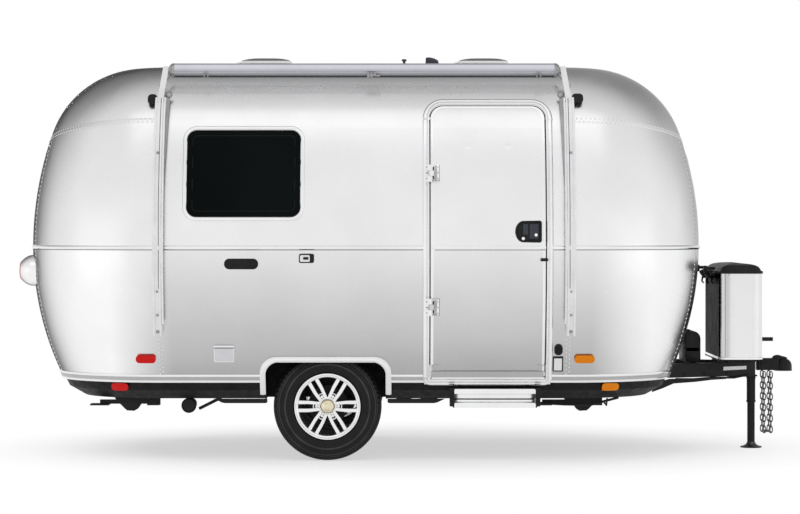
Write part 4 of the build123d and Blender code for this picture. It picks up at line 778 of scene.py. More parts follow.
def rivet_line(build, points, normals, offset, start=0.0):
    """Rivets at even spacing along a path, set aside from it by offset."""
    travelled = start
    for i in range(len(points) - 1):
        step = points[i + 1] - points[i]
        length = step.length
        tangent = step.normalized()
        while travelled < length:
            share = travelled / length
            normal = normals[i].lerp(normals[i + 1], share).normalized()
            across = normal.cross(tangent).normalized()
            build.dome(points[i] + step * share + across * offset, normal, RIVET_R, RIVET_HEIGHT, 7)
            travelled += RIVET_PITCH
        travelled -= length


def build_seams():
    laps, rivets = builds(2)
    paths = []
    # up each side at both seams; over the roof the lap runs on in one piece
    for end in (REAR, FRONT):
        for side in (RIGHT, LEFT):
            station = side_station(SEAM_X[end] - end * 0.004, side)
            for low, high in ((TRIM_TOP_Z, BELT_EDGES[0]), (BELT_EDGES[1], ROOF_Z)):
                turns = steps(0, 90, max(4, int((high - low) / SEAM_STEP)))
                rises = [math.sin(math.radians(turn)) for turn in turns]
                paths.append((skin_path([(station, low + (high - low) * rise) for rise in rises]), True))
    # round each end at the top seam, and down to the trim at each gore
    for end in (REAR, FRONT):
        round_end = [(corner_station(end, RIGHT, a), upper_seam_z(a)) for a in range(2, 91, 4)]
        round_end += [(corner_station(end, LEFT, a), upper_seam_z(a)) for a in range(90, 1, -4)]
        paths.append((skin_path(round_end), True))
        for side in (RIGHT, LEFT):
            station = corner_station(end, side, GORE_DEGREES)
            top = upper_seam_z(GORE_DEGREES) - 0.02
            for low, high in ((TRIM_TOP_Z, BELT_EDGES[0]), (BELT_EDGES[1], top)):
                heights = steps(low, high, int((high - low) / SEAM_STEP))
                paths.append((skin_path([(station, z) for z in heights]), False))
    for (points, normals), double in paths:
        laps.sweep(points, normals, LAP_PROFILE)
        raised = [p + n * LAP * 0.7 for p, n in zip(points, normals)]
        rivet_line(rivets, raised, normals, RIVET_ASIDE)
        if double:
            rivet_line(rivets, raised, normals, -RIVET_ASIDE, start=RIVET_PITCH / 2)
    laps.finish("panel_laps", "skin")
    rivets.finish("rivets", "trim", sharp=60)


build_seams()

# ---------------------------------------------------------------- windows
WINDOW_CORNER = 0.085
BEAD_HALF = 0.012
# each window's wall and the limits of its frame: (kind of wall, which one, low, high, bottom, top)
WINDOWS = (
    (on_side, RIGHT, -1.418, -0.667, 1.496, 2.083), (on_side, LEFT, -1.418, -0.667, 1.496, 2.083),
    (on_side, LEFT, 0.06, 0.64, 1.64, 2.04), (on_end, FRONT, -0.3, 0.3, 1.48, 1.96),
    (on_end, REAR, -0.3, 0.3, 1.48, 1.96),
)
BEAD_PROFILE = ((-12, 4), (-12, 6.5), (-10, 9.5), (-5, 11.5), (2, 11.5), (7, 9.5), (10, 6), (12, 4))
GASKET_PROFILE = ((-4, -6), (-4, 4), (-1, 6.5), (4, 5), (6, -6))
PANE_LINE = (-1.36, -0.725, 1.555, 2.025, 0.03)
PANE_LINE_PROFILE = ((0, 0), (0, 0.4), (3, 0.4), (3, 0))


def build_windows():
    """A bead and a gasket round each window, and the split line that shows behind the tinted pane."""
    beads, gaskets, inner = builds(3)
    for wall, which, *limits in WINDOWS:
        beads.ring(*wall(inset_outline(limits, BEAD_HALF, WINDOW_CORNER - BEAD_HALF), which), BEAD_PROFILE)
        gasket = inset_outline(limits, 2 * BEAD_HALF, WINDOW_CORNER - 2 * BEAD_HALF)
        gaskets.ring(*wall(gasket, which), GASKET_PROFILE)
    inner.ring(*on_side(rounded_rectangle(*PANE_LINE), RIGHT, 0.0003), PANE_LINE_PROFILE)
    beads.finish("window_beads", "trim")
    gaskets.finish("window_gaskets", "soft")
    inner.finish("pane_line", "soft")


build_windows()

# ---------------------------------------------------------------- door
DOOR_LIMITS = (DOOR_BOX[0].x, DOOR_BOX[1].x, DOOR_BOX[0].z, DOOR_BOX[1].z)
DOOR_CORNER = 0.115
DOOR_FRAME_PROFILE = (
    (-26, -1), (-26, 4), (-23, 9), (-17, 12.5), (-10, 13.5), (-5, 11.5), (-2.5, 6.5), (0, 6.5), (2, 12),
    (6, 15.5), (11, 15.5), (14.5, 12.5), (16, 8), (16, 0),
)
DOOR_SEAL_PROFILE = ((-3, -30), (-3, -14), (1, -11), (4, -14), (4, -30))
LEAF_BEAD_PROFILE = ((-12.5, 4.5), (-12.5, 7), (-10, 9.5), (1, 9.5), (5, 7.5), (5, 0))
INNER_BEAD_PROFILE = ((-12, -39.5), (-10, -45.5), (10, -45.5), (12, -39.5))


def door_outline(inset, corner=None, foot=None):
    corner = DOOR_CORNER - inset if corner is None else corner
    return on_side(inset_outline(DOOR_LIMITS, inset, corner, foot))


def wall_plate(build, outline, inner, outer):
    """An (x, z) outline on the right wall, from stand `inner` to `outer`."""
    build.grid([on_side(outline, RIGHT, stand)[0] for stand in (inner, outer)])


def wall_patch(build, low_x, high_x, low_z, high_z, inner, outer):
    corner = min(high_x - low_x, high_z - low_z) * 0.12
    wall_plate(build, rounded_rectangle(low_x, high_x, low_z, high_z, corner, bend=3), inner, outer)


def build_door():
    """The frame's bead with square feet, the seal, and the leaf's bead, strips, patches and inner side, with
    painted shadow lines at its joints.
    """
    frame_bead, seal, leaf_bead, patches, shadow_lines, inside, lever = builds(7)
    low, high, bottom, top = DOOR_LIMITS
    frame_bead.ring(*door_outline(0.016, foot=0.022), DOOR_FRAME_PROFILE)
    for x, way in ((low, 1), (high, -1)):
        outline = [(x, bottom), (x + way * 0.12, bottom)]
        outline += arc((x + way * 0.125, bottom + 0.125), 0.09, 270, 270 - way * 90, 6)
        wall_plate(frame_bead, [*outline, (x, bottom + 0.12)], -0.001, 0.0068)
    # sleeves where the bent corners meet the straight lengths
    sleeve = [(a * 1.12, s * 1.12) for a, s in DOOR_FRAME_PROFILE]
    for x in (low + 0.016, high - 0.016):
        for z in (top - DOOR_CORNER - 0.012, bottom + DOOR_CORNER * 0.3):
            frame_bead.sweep(*on_side(((x, z), (x, z + 0.012))), sleeve)
    seal.ring(*door_outline(0.036), DOOR_SEAL_PROFILE)
    leaf_bead.ring(*door_outline(0.050, 0.067, 0.012), LEAF_BEAD_PROFILE)
    # the kick strip's two ribs, and the belt line carried across the leaf
    leaf_low, leaf_high = low + 0.048, high - 0.036
    wall_patch(leaf_bead, leaf_low, leaf_high, bottom + 0.035, bottom + 0.048, 0.005, 0.0125)
    wall_patch(leaf_bead, leaf_low, leaf_high, bottom + 0.056, bottom + 0.078, 0.005, 0.0115)
    belt = on_side([(x, BELT_Z) for x in steps(low + 0.062, high - 0.036, 12)])
    leaf_bead.sweep(*belt, [(a, stand + 6) for a, stand in BELT_PROFILE])
    foot = (bottom + 0.036, bottom + 0.125)
    for low_x, high_x in ((low + 0.050, low + 0.092), (high - 0.080, high - 0.038)):
        wall_patch(patches, low_x, high_x, *foot, 0.003, 0.0085)
    # painted shadow lines beside the leaf's corner patches, under the belt line and between the kick strip's
    # ribs
    for low_x, high_x in ((low + 0.046, low + 0.0495), (high - 0.0375, high - 0.034)):
        wall_patch(shadow_lines, low_x, high_x, *foot, 0.003, 0.0095)
    wall_patch(shadow_lines, low + 0.062, high - 0.040, BELT_Z - 0.0155, BELT_Z - 0.0115, 0.003, 0.009)
    wall_patch(shadow_lines, leaf_low, leaf_high, bottom + 0.0485, bottom + 0.0525, 0.005, 0.0085)
    inside.ring(*door_outline(0.105, 0.07), INNER_BEAD_PROFILE)
    wall_patch(lever, high - 0.175, high - 0.125, 1.32, 1.44, -0.0450, -0.0395)
    wall_patch(lever, high - 0.240, high - 0.140, 1.365, 1.387, -0.0620, -0.0440)
    frame_bead.finish("door_frame_bead", "trim")
    seal.finish("door_seal", "soft")
    leaf_bead.finish("door_leaf_bead", "trim", "door")
    patches.finish("door_corner_patches", "skin", "door")
    inside.finish("door_inner_bead", "trim", "door")
    lever.finish("door_inner_lever", "plastic", "door")
    shadow_lines.finish("door_shadow_lines", "soft", "door")


def skin_matrix(x, z, stand=0.0):
    """A frame on the right wall: x along the body, y up the wall, z outward."""
    place, normal = on_skin(side_station(x), z, stand)
    rows = zip(X, (0, normal.z, -normal.y), normal, place)
    return Matrix((*rows, (0, 0, 0, 1)))


HINGE_X = 0.143
HINGE_HALF = 0.0525
KEEPER = (0.811, 1.258)


def build_hinge_details():
    """The folded leaf of each hinge with painted shade between its plates and painted shadow lines by its
    edges, its screws, and the black keeper under the handle.
    """
    fixed, moving, leaf, ledge_and_shade, slot, keeper = builds(6)
    low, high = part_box("door_hinges")
    for base in (low.z, high.z - 2 * HINGE_HALF):
        matrix = skin_matrix(HINGE_X, base + HINGE_HALF)
        leaf.block(matrix, (6, -50, 12.5), (22, 50, 19.5), 3)
        leaf.block(matrix, (-22, -50, 12.5), (-18, 50, 17), 1)
        # painted shade: a grey strip between the leaf's plates, then the ledge along the hinge's foot
        ledge_and_shade.block(matrix, (-8, -44, 12.5), (6, 48, 15.5), 1)
        ledge_and_shade.block(matrix, (-22, -51.5, 12.5), (22, -44, 20), 2)
        # painted shade: a black strip for the slot, and a painted shadow line along the leaf's outer edge
        slot.block(matrix, (-18, -40, 12.5), (-10, 40, 15), 0.8)
        slot.block(matrix, (22.2, -52, 6), (24, 52, 12.5), 0.5)
        for up in (0.018, HINGE_HALF, 0.087):
            fixed.dome(*on_skin(side_station(low.x + 0.008), base + up, 0.014), 0.0055, 0.003, 10)
            moving.dome(*on_skin(side_station(HINGE_X + 0.014), base + up, 0.0195), 0.0045, 0.0025, 10)
    keeper.block(skin_matrix(*KEEPER), (-23, -9.5, 16), (23, 9.5, 30), 4)
    keeper.block(skin_matrix(*KEEPER), (-21, -7.5, 6), (4, 7.5, 18), 2)
    ledge_and_shade.finish("hinge_ledges_and_shade", "strip", "door")
    leaf.finish("hinge_leaves", "trim", "door")
    slot.finish("hinge_shadow_lines", "soft", "door")
    fixed.finish("hinge_bolts_frame", "zinc", sharp=60)
    moving.finish("hinge_bolts_door", "zinc", "door", sharp=60)
    keeper.finish("door_keeper", "plastic", "door")


def build_handle():
    """The flush handle: a plate rounded on its rear side, a recess, a paddle and two locks."""
    plate, paddle, locks = builds(3)
    low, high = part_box("door_handle")
    half_x, half_z = (high.x - low.x) / 2, (high.z - low.z) / 2
    matrix = skin_matrix((low.x + high.x) / 2, (low.z + high.z) / 2, 0.006)
    outline = arc((-half_x + 0.05, 0), 0.05, 90, 270, 12, tall=half_z - 0.004)
    outline += arc((half_x - 0.016, -half_z + 0.016), 0.014, -90, 0, 4)
    outline += arc((half_x - 0.016, half_z - 0.016), 0.014, 0, 90, 4)
    plate.grid([
        [matrix @ Vector((x * (1 - inset / half_x), z * (1 - inset / half_z), stand)) for x, z in outline]
        for inset, stand in ((0.0, 0.0), (0.0, 0.008), (0.003, 0.0115), (0.010, 0.0125), (0.013, 0.006))
    ])
    paddle.block(matrix, (-36, -20, 4), (-4, 48, 12), 4)
    paddle.block(matrix, (4, -46, 4), (62, 48, 11.5), 5)
    for place in ((-0.034, -0.043, 0), (0.045, -0.021, 0)):
        lock = ((0, 8), (9.5, 8), (9.5, 12.5), (7.5, 14), (0, 14))
        locks.lathe(lock, matrix @ Vector(place), matrix.to_3x3() @ Z, 20)
    plate.finish("handle_plate", "plastic", "door", replaces=("door_handle",))
    paddle.finish("handle_paddle", "smoke", "door", "black_plastic")
    locks.finish("handle_locks", "chrome", "door")


build_door()
build_hinge_details()
build_handle()

# ---------------------------------------------------------------- awning
ROLLER_LOW, ROLLER_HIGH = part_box("awning_roller")
ROLLER_Y = (ROLLER_LOW.y + ROLLER_HIGH.y) / 2
ROLLER_Z = (ROLLER_LOW.z + ROLLER_HIGH.z) / 2
ROLLER_R = 0.0445
ROLLER_ENDS = (ROLLER_LOW.x + 0.024, ROLLER_HIGH.x - 0.024)
GROOVE, LIP = (3.3, 3.55), (5.2, 5.5)
AWNING_CAP = (
    (0, -10), (45, -10), (45, 4), (41, 6), (41, 12), (34, 14), (34, 20), (22, 22), (22, 24), (0, 24),
)
# X of the wire loops; X of each clip and how far it hangs; the ends of the bar that joins them
LOOPS_X = (-1.29, 0.79)
CLIPS = ((-0.275, 0.052), (-0.235, 0.040), (-0.255, 0.046))
CLIP_BAR = ((-0.285, -0.048, -0.030), (-0.20, -0.048, -0.036))


def by_roller(x, y, z):
    return Vector((x, ROLLER_Y + y, ROLLER_Z + z))


def build_awning():
    """The rolled awning: a cover with a lip and groove, stepped end caps, and clips."""
    roll, caps, clips = builds(3)
    outline = []
    for k in range(40):
        turn = 2 * math.pi * k / 40
        radius = ROLLER_R - 0.006 * (GROOVE[0] < turn < GROOVE[1]) + 0.003 * (LIP[0] < turn < LIP[1])
        outline.append((radius * math.cos(turn), radius * math.sin(turn)))
    roll.grid([[by_roller(x, y, z) for y, z in outline] for x in steps(*ROLLER_ENDS, 12)])
    for x, way in zip(ROLLER_ENDS, (-1, 1)):
        caps.lathe(AWNING_CAP, by_roller(x, 0, 0), way * X, 32)
    for middle in LOOPS_X:
        loop = arc((middle, -0.034), 0.012, 0, 337.5, 15, tall=0.02)
        clips.tube([by_roller(x, -0.047, z) for x, z in loop], 0.0035, 8, closed=True)
    for x, down in CLIPS:
        clips.box(by_roller(x - 0.009, -0.054, -down), by_roller(x + 0.009, -0.036, -0.012), 0.004)
    clips.tube([by_roller(*end) for end in CLIP_BAR], 0.007, 10)
    roll.finish("awning_roll", "awning", sharp=25, replaces=("awning_roller",))
    caps.finish("awning_caps", "zinc")
    clips.finish("awning_clips", "zinc")


ARM_STAND = 0.062
ARM_Z = (0.806, 2.224)
ARM_HEAD_Z = 2.30
STRUT_TOP_Z, STRUT_FOOT_Z = 2.262, 1.35
# height and size of each bolt
ARM_BOLTS = ((0.83, 1.0), (0.93, 0.7), (1.07, 0.6), (1.9, 0.8))
# profiles across an arm, in millimetres, with how far aside each lies
ARM_EDGE = ((-6, -4), (-6, 6), (-3, 8), (3, 8), (6, 6), (6, -4))
ARM_FLANGE = ((-5.5, -22), (-5.5, 4), (-3, 6), (3, 6), (5.5, 4), (5.5, -22))
ARM_GROOVE = ((-1.8, -3), (-1.8, 1.5), (1.8, 1.5), (1.8, -3))
STRUT = ((-9, -6), (-9, 6), (9, 6), (9, -6))


def build_arm_details():
    """Channels, a second strut, brackets and bolts on the two awning arms."""
    channel, groove_shade, struts, brackets = builds(4)
    low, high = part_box("awning_arms")
    for x, top_x, way in ((low.x + 0.028, ROLLER_LOW.x, 1), (high.x - 0.028, ROLLER_HIGH.x, -1)):
        points, normals = on_side([(x, z) for z in steps(*ARM_Z, 20)], RIGHT, ARM_STAND)
        for build, start, aside, profile in (
            (channel, 0, 21, ARM_EDGE), (channel, 0, -18, ARM_EDGE), (channel, 1, -33, ARM_FLANGE),
            # a black strip down the groove between the arm's edges: painted shade
            (groove_shade, 4, -10, ARM_GROOVE),
        ):
            build.sweep(points[start:], normals[start:], [(a + way * aside, s) for a, s in profile])
        # the link from the arm's head to the roller's end
        head = on_skin(side_station(x + way * 0.004), ARM_HEAD_Z, 0.052)[0]
        brackets.tube([head, by_roller(top_x + way * 0.010, -0.012, -0.012)], 0.010, 10)
        brackets.dome(head - 0.006 * Y, (0, -1, 0.4), 0.017, 0.012, 12)
        # the thinner strut that folds beside the arm
        strut = zip(steps(x + way * 0.052, x + way * 0.016, 10), steps(STRUT_TOP_Z, STRUT_FOOT_Z, 10))
        path = on_side(strut, RIGHT, 0.030)
        struts.sweep(*path, STRUT)
        brackets.dome(path[0][0] - 0.008 * Y, (0, -1, 0.3), 0.022, 0.018, 12)
        for z, size in ARM_BOLTS:
            brackets.dome(*on_skin(side_station(x), z, 0.064), 0.011 * size, 0.007, 10)
    # nothing stands out past the CAD arms
    for vert in (*channel.verts, *groove_shade.verts, *brackets.verts):
        vert.y = max(vert.y, low.y + 0.0002)
    channel.finish("arm_channels", "arm")
    groove_shade.finish("arm_groove_shade", "soft", slot="trim")
    struts.finish("arm_struts", "zinc")
    brackets.finish("arm_bolts", "zinc", sharp=60)


build_awning()
build_arm_details()

# ---------------------------------------------------------------- wheels
TYRE_LOW, TYRE_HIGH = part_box("tyre_right")
AXLE = Vector(((TYRE_LOW.x + TYRE_HIGH.x) / 2, 0, (TYRE_LOW.z + TYRE_HIGH.z) / 2))
WHEEL_Y = abs((TYRE_LOW.y + TYRE_HIGH.y) / 2)
BLOCKS = 66
# shares of a tread block, and whether the cross groove is cut there
BLOCK_STEPS = ((0.0, 0), (0.62, 0), (0.70, 1), (0.92, 1))
TREAD_STAGGER = 2.2
# tyre section in millimetres: (radius, outboard, depth of the cross groove there)
TYRE_SIDE = (
    (205, 78, 0), (211, 88, 0), (222, 95, 0), (226, 96.5, 0), (230, 96.5, 0), (245, 100.5, 0),
    (262, 102.2, 0), (264, 103.5, 0), (268, 103.5, 0), (270, 102.2, 0), (285, 100.5, 0), (289, 101.5, 0),
    (292, 101.5, 0), (295, 99.5, 0), (306, 98.5, 4), (318, 95.5, 6), (327, 90, 7), (333.5, 81, 7),
    (335.5, 71, 7), (336.2, 62, 3), (328.5, 60, 0), (328.5, 55, 0), (337, 53, 0), (337.8, 36, 0),
    (329.5, 34, 0), (329.5, 28, 0), (338, 26, 0), (338, 9, 0), (330, 7, 0),
)
LUG_R = 0.069
SPOKE_START_R, SPOKE_END_R = 0.050, 0.186
SPOKE_SHIFT = 0.0250
SPOKE_HALF = 0.0118
SPOKE_FACE, SPOKE_DISH = 0.0735, 0.002
# shares of a spoke's half width, and how far behind its face
SPOKE_SECTION = ((-1, -0.026), (-1, -0.003), (-0.82, 0), (0.82, 0), (1, -0.003), (1, -0.026))
RIM = (
    (207.5, -94), (207.5, 86), (207.5, 92), (206, 94), (198.5, 93.5), (197.2, 91.5), (196.5, 87.5), (195, 87),
    (194, 89), (186, 86), (182.5, 82), (181.2, 74), (181.2, 60), (187, 40), (192, 0), (194, -80), (198, -94),
)
BOSS = ((15, 46), (23.5, 46), (23.5, 73), (22, 76.5), (17.5, 76.5), (16, 73))
CENTRE = ((0, 46), (60, 46), (60, 64), (57, 67), (51.5, 67), (49.5, 58), (0, 58))
NUT = ((0, 46), (10.5, 46), (10.5, 66), (9.2, 69), (5, 71.5), (0, 72))
CAP = (
    (0, 54), (45.5, 54), (45.5, 64), (44, 70), (39.5, 77), (32, 83), (20.5, 86.8), (19.5, 85.5), (17.5, 85.5),
    (16.5, 87.2), (10, 88), (0, 88.2),
)


def wheel_point(side, radius, degrees, out):
    """A point of a wheel: radius and angle in its plane, and distance outboard of its middle."""
    angle = math.radians(degrees)
    reach = radius * math.cos(angle), radius * math.sin(angle)
    return Vector((AXLE.x + reach[0], side * (WHEEL_Y + out), AXLE.z + reach[1]))


def build_tyre(side, name):
    section = [(r / 1000, y / 1000, cut / 1000) for r, y, cut in TYRE_SIDE]
    section += [(r, -y, cut) for r, y, cut in reversed(section)]
    rows = []
    for block in range(BLOCKS):
        for share, is_cut in BLOCK_STEPS:
            turn = 360 * (block + share) / BLOCKS
            rows.append([
                wheel_point(side, r - cut * is_cut, turn + TREAD_STAGGER * (y < 0), y)
                for r, y, cut in section
            ])
    tread = Build()
    tread.grid(rows, close_rows=True)
    tread.finish(f"tread_{name}", "tyre", f"wheel_{name}", sharp=28, replaces=(f"tyre_{name}",))


def spoke(side, degrees, shift):
    """Rings of a bar with a crowned face, dished from the centre to the lip."""
    rows = []
    for share in steps(0, 1, 8):
        radius = SPOKE_START_R + (SPOKE_END_R - SPOKE_START_R) * share
        aside = shift * (SPOKE_SHIFT * (0.72 + 0.28 * min(1, share * 2.2)))
        half = SPOKE_HALF * (0.95 + 0.15 * share * share)
        face = SPOKE_FACE - SPOKE_DISH * math.sin(math.pi / 2 * share)
        ring = []
        for across, depth in SPOKE_SECTION:
            along = aside + across * half
            turn = degrees + math.degrees(math.atan2(along, radius))
            ring.append(wheel_point(side, math.hypot(radius, along), turn, face + depth))
        rows.append(ring)
    return rows


def build_rim(side, name):
    """The alloy wheel: lip and barrel, six pairs of spokes, lug bosses, nuts, centre and cap."""
    body, axis, centre = f"wheel_{name}", side * Y, wheel_point(side, 0, 0, 0)
    alloy, nuts, cap = builds(3)
    alloy.lathe(RIM, centre, axis, 96)
    for degrees in range(0, 360, 60):
        for shift in (-1, 1):
            alloy.grid(spoke(side, degrees, shift))
        place = wheel_point(side, LUG_R, degrees, 0)
        alloy.lathe(BOSS, place, axis, 24)
        nuts.lathe(NUT, place, axis, 6)
    alloy.lathe(CENTRE, centre, axis)
    cap.lathe(CAP, centre, axis, 40)
    alloy.finish(f"alloy_{name}", "rim", body, sharp=35, replaces=(f"rim_{name}",))
    nuts.finish(f"lug_nuts_{name}", "chrome", body, "wheel", sharp=30)
    cap.finish(f"centre_cap_{name}", "gold", body, sharp=30)


for wheel_side, wheel_name in ((LEFT, "left"), (RIGHT, "right")):
    build_tyre(wheel_side, wheel_name)
    build_rim(wheel_side, wheel_name)

ARCH_BAND_HALF = 0.0175
ARCH_CORNER = 0.105
ARCH_PROFILE = ((-16.5, 0), (-16.5, 6), (-12, 10.5), (-4, 12.5), (4, 12.5), (12, 10.5), (16.5, 6), (16.5, 0))


def build_arch_beads():
    """A rounded lip along each wheel arch's band."""
    beads = Build()
    low_x, high_x, top = ARCH[0].x + ARCH_BAND_HALF, ARCH[1].x - ARCH_BAND_HALF, ARCH[1].z - ARCH_BAND_HALF
    foot, shoulder = ARCH[0].z + 0.004, top - ARCH_CORNER
    path = [(low_x, z) for z in steps(foot, shoulder + 0.004, 6)[:-1]]
    path += arc((low_x + ARCH_CORNER, shoulder), ARCH_CORNER, 180, 90, 10)
    path += [(x, top) for x in steps(low_x + ARCH_CORNER, high_x - ARCH_CORNER, 6)[1:-1]]
    path += arc((high_x - ARCH_CORNER, shoulder), ARCH_CORNER, 90, 0, 10)
    path += [(high_x, z) for z in steps(shoulder, foot, 6)[1:]]
    for side in (RIGHT, LEFT):
        beads.sweep(*on_side(path, side), ARCH_PROFILE)
    beads.finish("arch_beads", "trim")


build_arch_beads()

# ---------------------------------------------------------------- lamps and small fittings on the wall
# (low X, high X, low Z, high Z, corner) of the faces on the badge, the outlet and the plate
BADGE_FACE = (-1.156, -0.954, 1.202, 1.260, 0.028)
OUTLET_FACE = (-0.692, -0.632, 1.245, 1.286, 0.009)
PLATE_FACE = (0.879, 0.928, 0.569, 0.645, 0.002)
OUTLET_WINDOW = ((-0.672, -1.227, 1.258), (-0.640, -1.2195, 1.274))
PORT = (0.905, 0.6965)
PORT_RING = ((11, 0), (22.5, 0), (22.5, 2), (18, 3.5), (13, 2))


def build_fittings():
    """Bezels and blank faces on the badge, the outlet, the round port and the plate."""
    badge, face, window, port = builds(4)
    wall_plate(badge, rounded_rectangle(*BADGE_FACE), 0.004, 0.0062)
    wall_plate(face, rounded_rectangle(*OUTLET_FACE), 0.010, 0.0135)
    wall_plate(face, rounded_rectangle(*PLATE_FACE), 0.003, 0.0048)
    window.box(*OUTLET_WINDOW, 0.002)
    place, normal = on_skin(side_station(PORT[0]), PORT[1], 0.008)
    port.lathe(PORT_RING, place, normal, 28)
    port.dome(place, normal, 0.009, 0.004, 14)
    badge.finish("badge_blank", "soft")
    face.finish("blank_faces", "white")
    window.finish("outlet_window", "plastic")
    port.finish("port_ring", "soft")


# shares of the pod's radius and length, and of the lens's radius and height
POD_SHAPE = (
    (1.0, 0.30), (0.985, 0.42), (0.95, 0.54), (0.89, 0.66), (0.81, 0.78), (0.72, 0.88), (0.64, 0.95),
    (0.60, 0.995), (0.585, 1.0), (0.57, 0.985), (0.0, 0.985),
)
LENS_SHAPE = ((1.0, 0.25), (0.92, 0.6), (0.7, 0.85), (0.35, 0.98), (0, 0.99))


def build_tail_lamps():
    """Bullet-shaped pods with a domed red lens in the tip of each."""
    pods, lenses = builds(2)
    low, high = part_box("tail_lamp_pods")
    tip_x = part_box("tail_lamp_lenses")[0].x
    base_x, mid_z, radius = high.x - 0.002, (low.z + high.z) / 2, (high.z - low.z) / 2
    tall, wide, tip = (1000 * size for size in (base_x - low.x, radius, low.x - tip_x))
    pod = [(0, 0), (wide, 0), *((wide * out, tall * along) for out, along in POD_SHAPE)]
    lens_r = wide * 0.565
    dome = [(0, -4), (lens_r, -4), *((lens_r * out, tip * along) for out, along in LENS_SHAPE)]
    for y in (low.y + radius, high.y - radius):
        pods.lathe(pod, (base_x, y, mid_z), -X, 64)
        lenses.lathe(dome, (low.x, y, mid_z), -X)
    pods.finish("tail_pod_shells", "skin", slot="trim", replaces=("tail_lamp_pods",))
    lenses.finish("tail_lenses", "red", replaces=("tail_lamp_lenses",))


build_fittings()
build_tail_lamps()

# ---------------------------------------------------------------- front: tank cover, battery and drawbar
LID_LOW, LID_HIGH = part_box("tank_lid")
LID_LEVELS = (
    (10, 1), (0, 0), (0, 13), (2, 16), (11, 18.5), (13, 21), (17, 30), (26, 41), (40, 50), (60, 57),
    (85, 61.5), (112, 64), (120, 60.5),
)
LID_RIBS_Y, LID_HINGES_Y = (-0.22, 0, 0.22), (-0.3, 0.3)


def hinge_pin(build, place, radius, half):
    radius, half = radius * 1000, half * 1000
    build.lathe(((0, -half), (radius, -half), (radius, half), (0, half)), place, Y, 16)


def build_tank_lid():
    """The moulded lid: a thin skirt, a step, a raised panel with sloped sides and ribs, and hinge ears."""
    lid = Build()
    low_x, high_x, half_y, base_z = LID_LOW.x + 0.024, LID_HIGH.x, LID_HIGH.y, LID_LOW.z
    pin_x = LID_LOW.x + 0.009
    lid.stack((low_x, -half_y), (high_x, half_y), LID_LEVELS, base_z, lambda inset: max(0.012, 0.066 - inset))
    for y in LID_RIBS_Y:
        rib_low = (low_x + 0.115, y - 0.006, base_z + 0.058)
        lid.box(rib_low, (high_x - 0.115, y + 0.006, base_z + 0.0635), 0.001)
    for y in LID_HINGES_Y:
        hinge_pin(lid, (pin_x, y, base_z + 0.0095), 0.0088, 0.03)
        lid.box((pin_x, y - 0.028, base_z + 0.003), (low_x + 0.012, y + 0.028, base_z + 0.016), 0.002)
    lid.finish("lid_shell", "plastic", "tank_lid", sharp=35, replaces=("tank_lid",))


FLANGE_PROFILE = ((-3, -6), (-3, 6), (0, 8), (2, 6), (2, -6))
FLANGE_GAP_HALF = 0.066
CLAMP_Y, EAR_Y = 0.12, 0.20


def build_cover_details():
    """Bright corner beads, a foot flange open at the drawbar, the black clamps, and the lid's ears."""
    beads, clamp, ears = builds(3)
    rear_x, front_x, half = COVER_REAR_X, COVER_HIGH.x, COVER_HIGH.y
    for y in (-half - 0.0005, half + 0.0005):
        for x in (rear_x + 0.058, front_x - 0.060):
            beads.tube([(x, y, COVER_LOW.z + 0.01), (x, y, COVER_LOW.z + 0.54)], 0.003, 8)
    outline = plan_outline((rear_x + 0.001, -half - 0.001), (front_x + 0.001, half + 0.001), 0.061, 0.05)
    flange = [Vector((*p, COVER_LOW.z + 0.006)) for p in outline]
    is_open = [p.x > front_x - 0.001 and abs(p.y) <= FLANGE_GAP_HALF for p in flange]
    start = is_open.index(True)
    kept = [flange[k] for k in (*range(start, len(flange)), *range(start)) if not is_open[k]]
    ends = [Vector((front_x + 0.001, math.copysign(FLANGE_GAP_HALF, p.y), p.z)) for p in (kept[0], kept[-1])]
    beads.sweep([ends[0], *kept, ends[1]], [Z] * (len(kept) + 2), FLANGE_PROFILE)
    for y in (-CLAMP_Y, CLAMP_Y):
        clamp.box((rear_x - 0.052, y - 0.030, 1.118), (rear_x + 0.001, y + 0.030, 1.146), 0.007)
        clamp.box((rear_x - 0.060, y - 0.026, 1.134), (rear_x - 0.034, y + 0.026, 1.174), 0.009)
        clamp.dome((rear_x - 0.058, y, 1.158), -X, 0.014, 0.012, 14)
        for x in (rear_x - 0.050, rear_x - 0.016):
            hook = ((x, 1.124), (x - 0.004, 1.098), (x + 0.008, 1.086))
            clamp.tube([(hook_x, y - 0.012, z) for hook_x, z in hook], 0.006, 10)
    for y in (-EAR_Y, EAR_Y):
        ears.box((rear_x - 0.076, y - 0.024, 1.178), (rear_x - 0.004, y + 0.024, 1.198), 0.007)
        ears.box((rear_x - 0.078, y - 0.018, 1.160), (rear_x - 0.060, y + 0.018, 1.206), 0.006)
    beads.finish("cover_beads", "trim", slot="brushed")
    clamp.finish("cover_clamps", "plastic")
    ears.finish("lid_ears", "plastic", "tank_lid")


VENT_PLUG = ((0, 0), (10, 0), (10, 8), (7, 12), (0, 12))


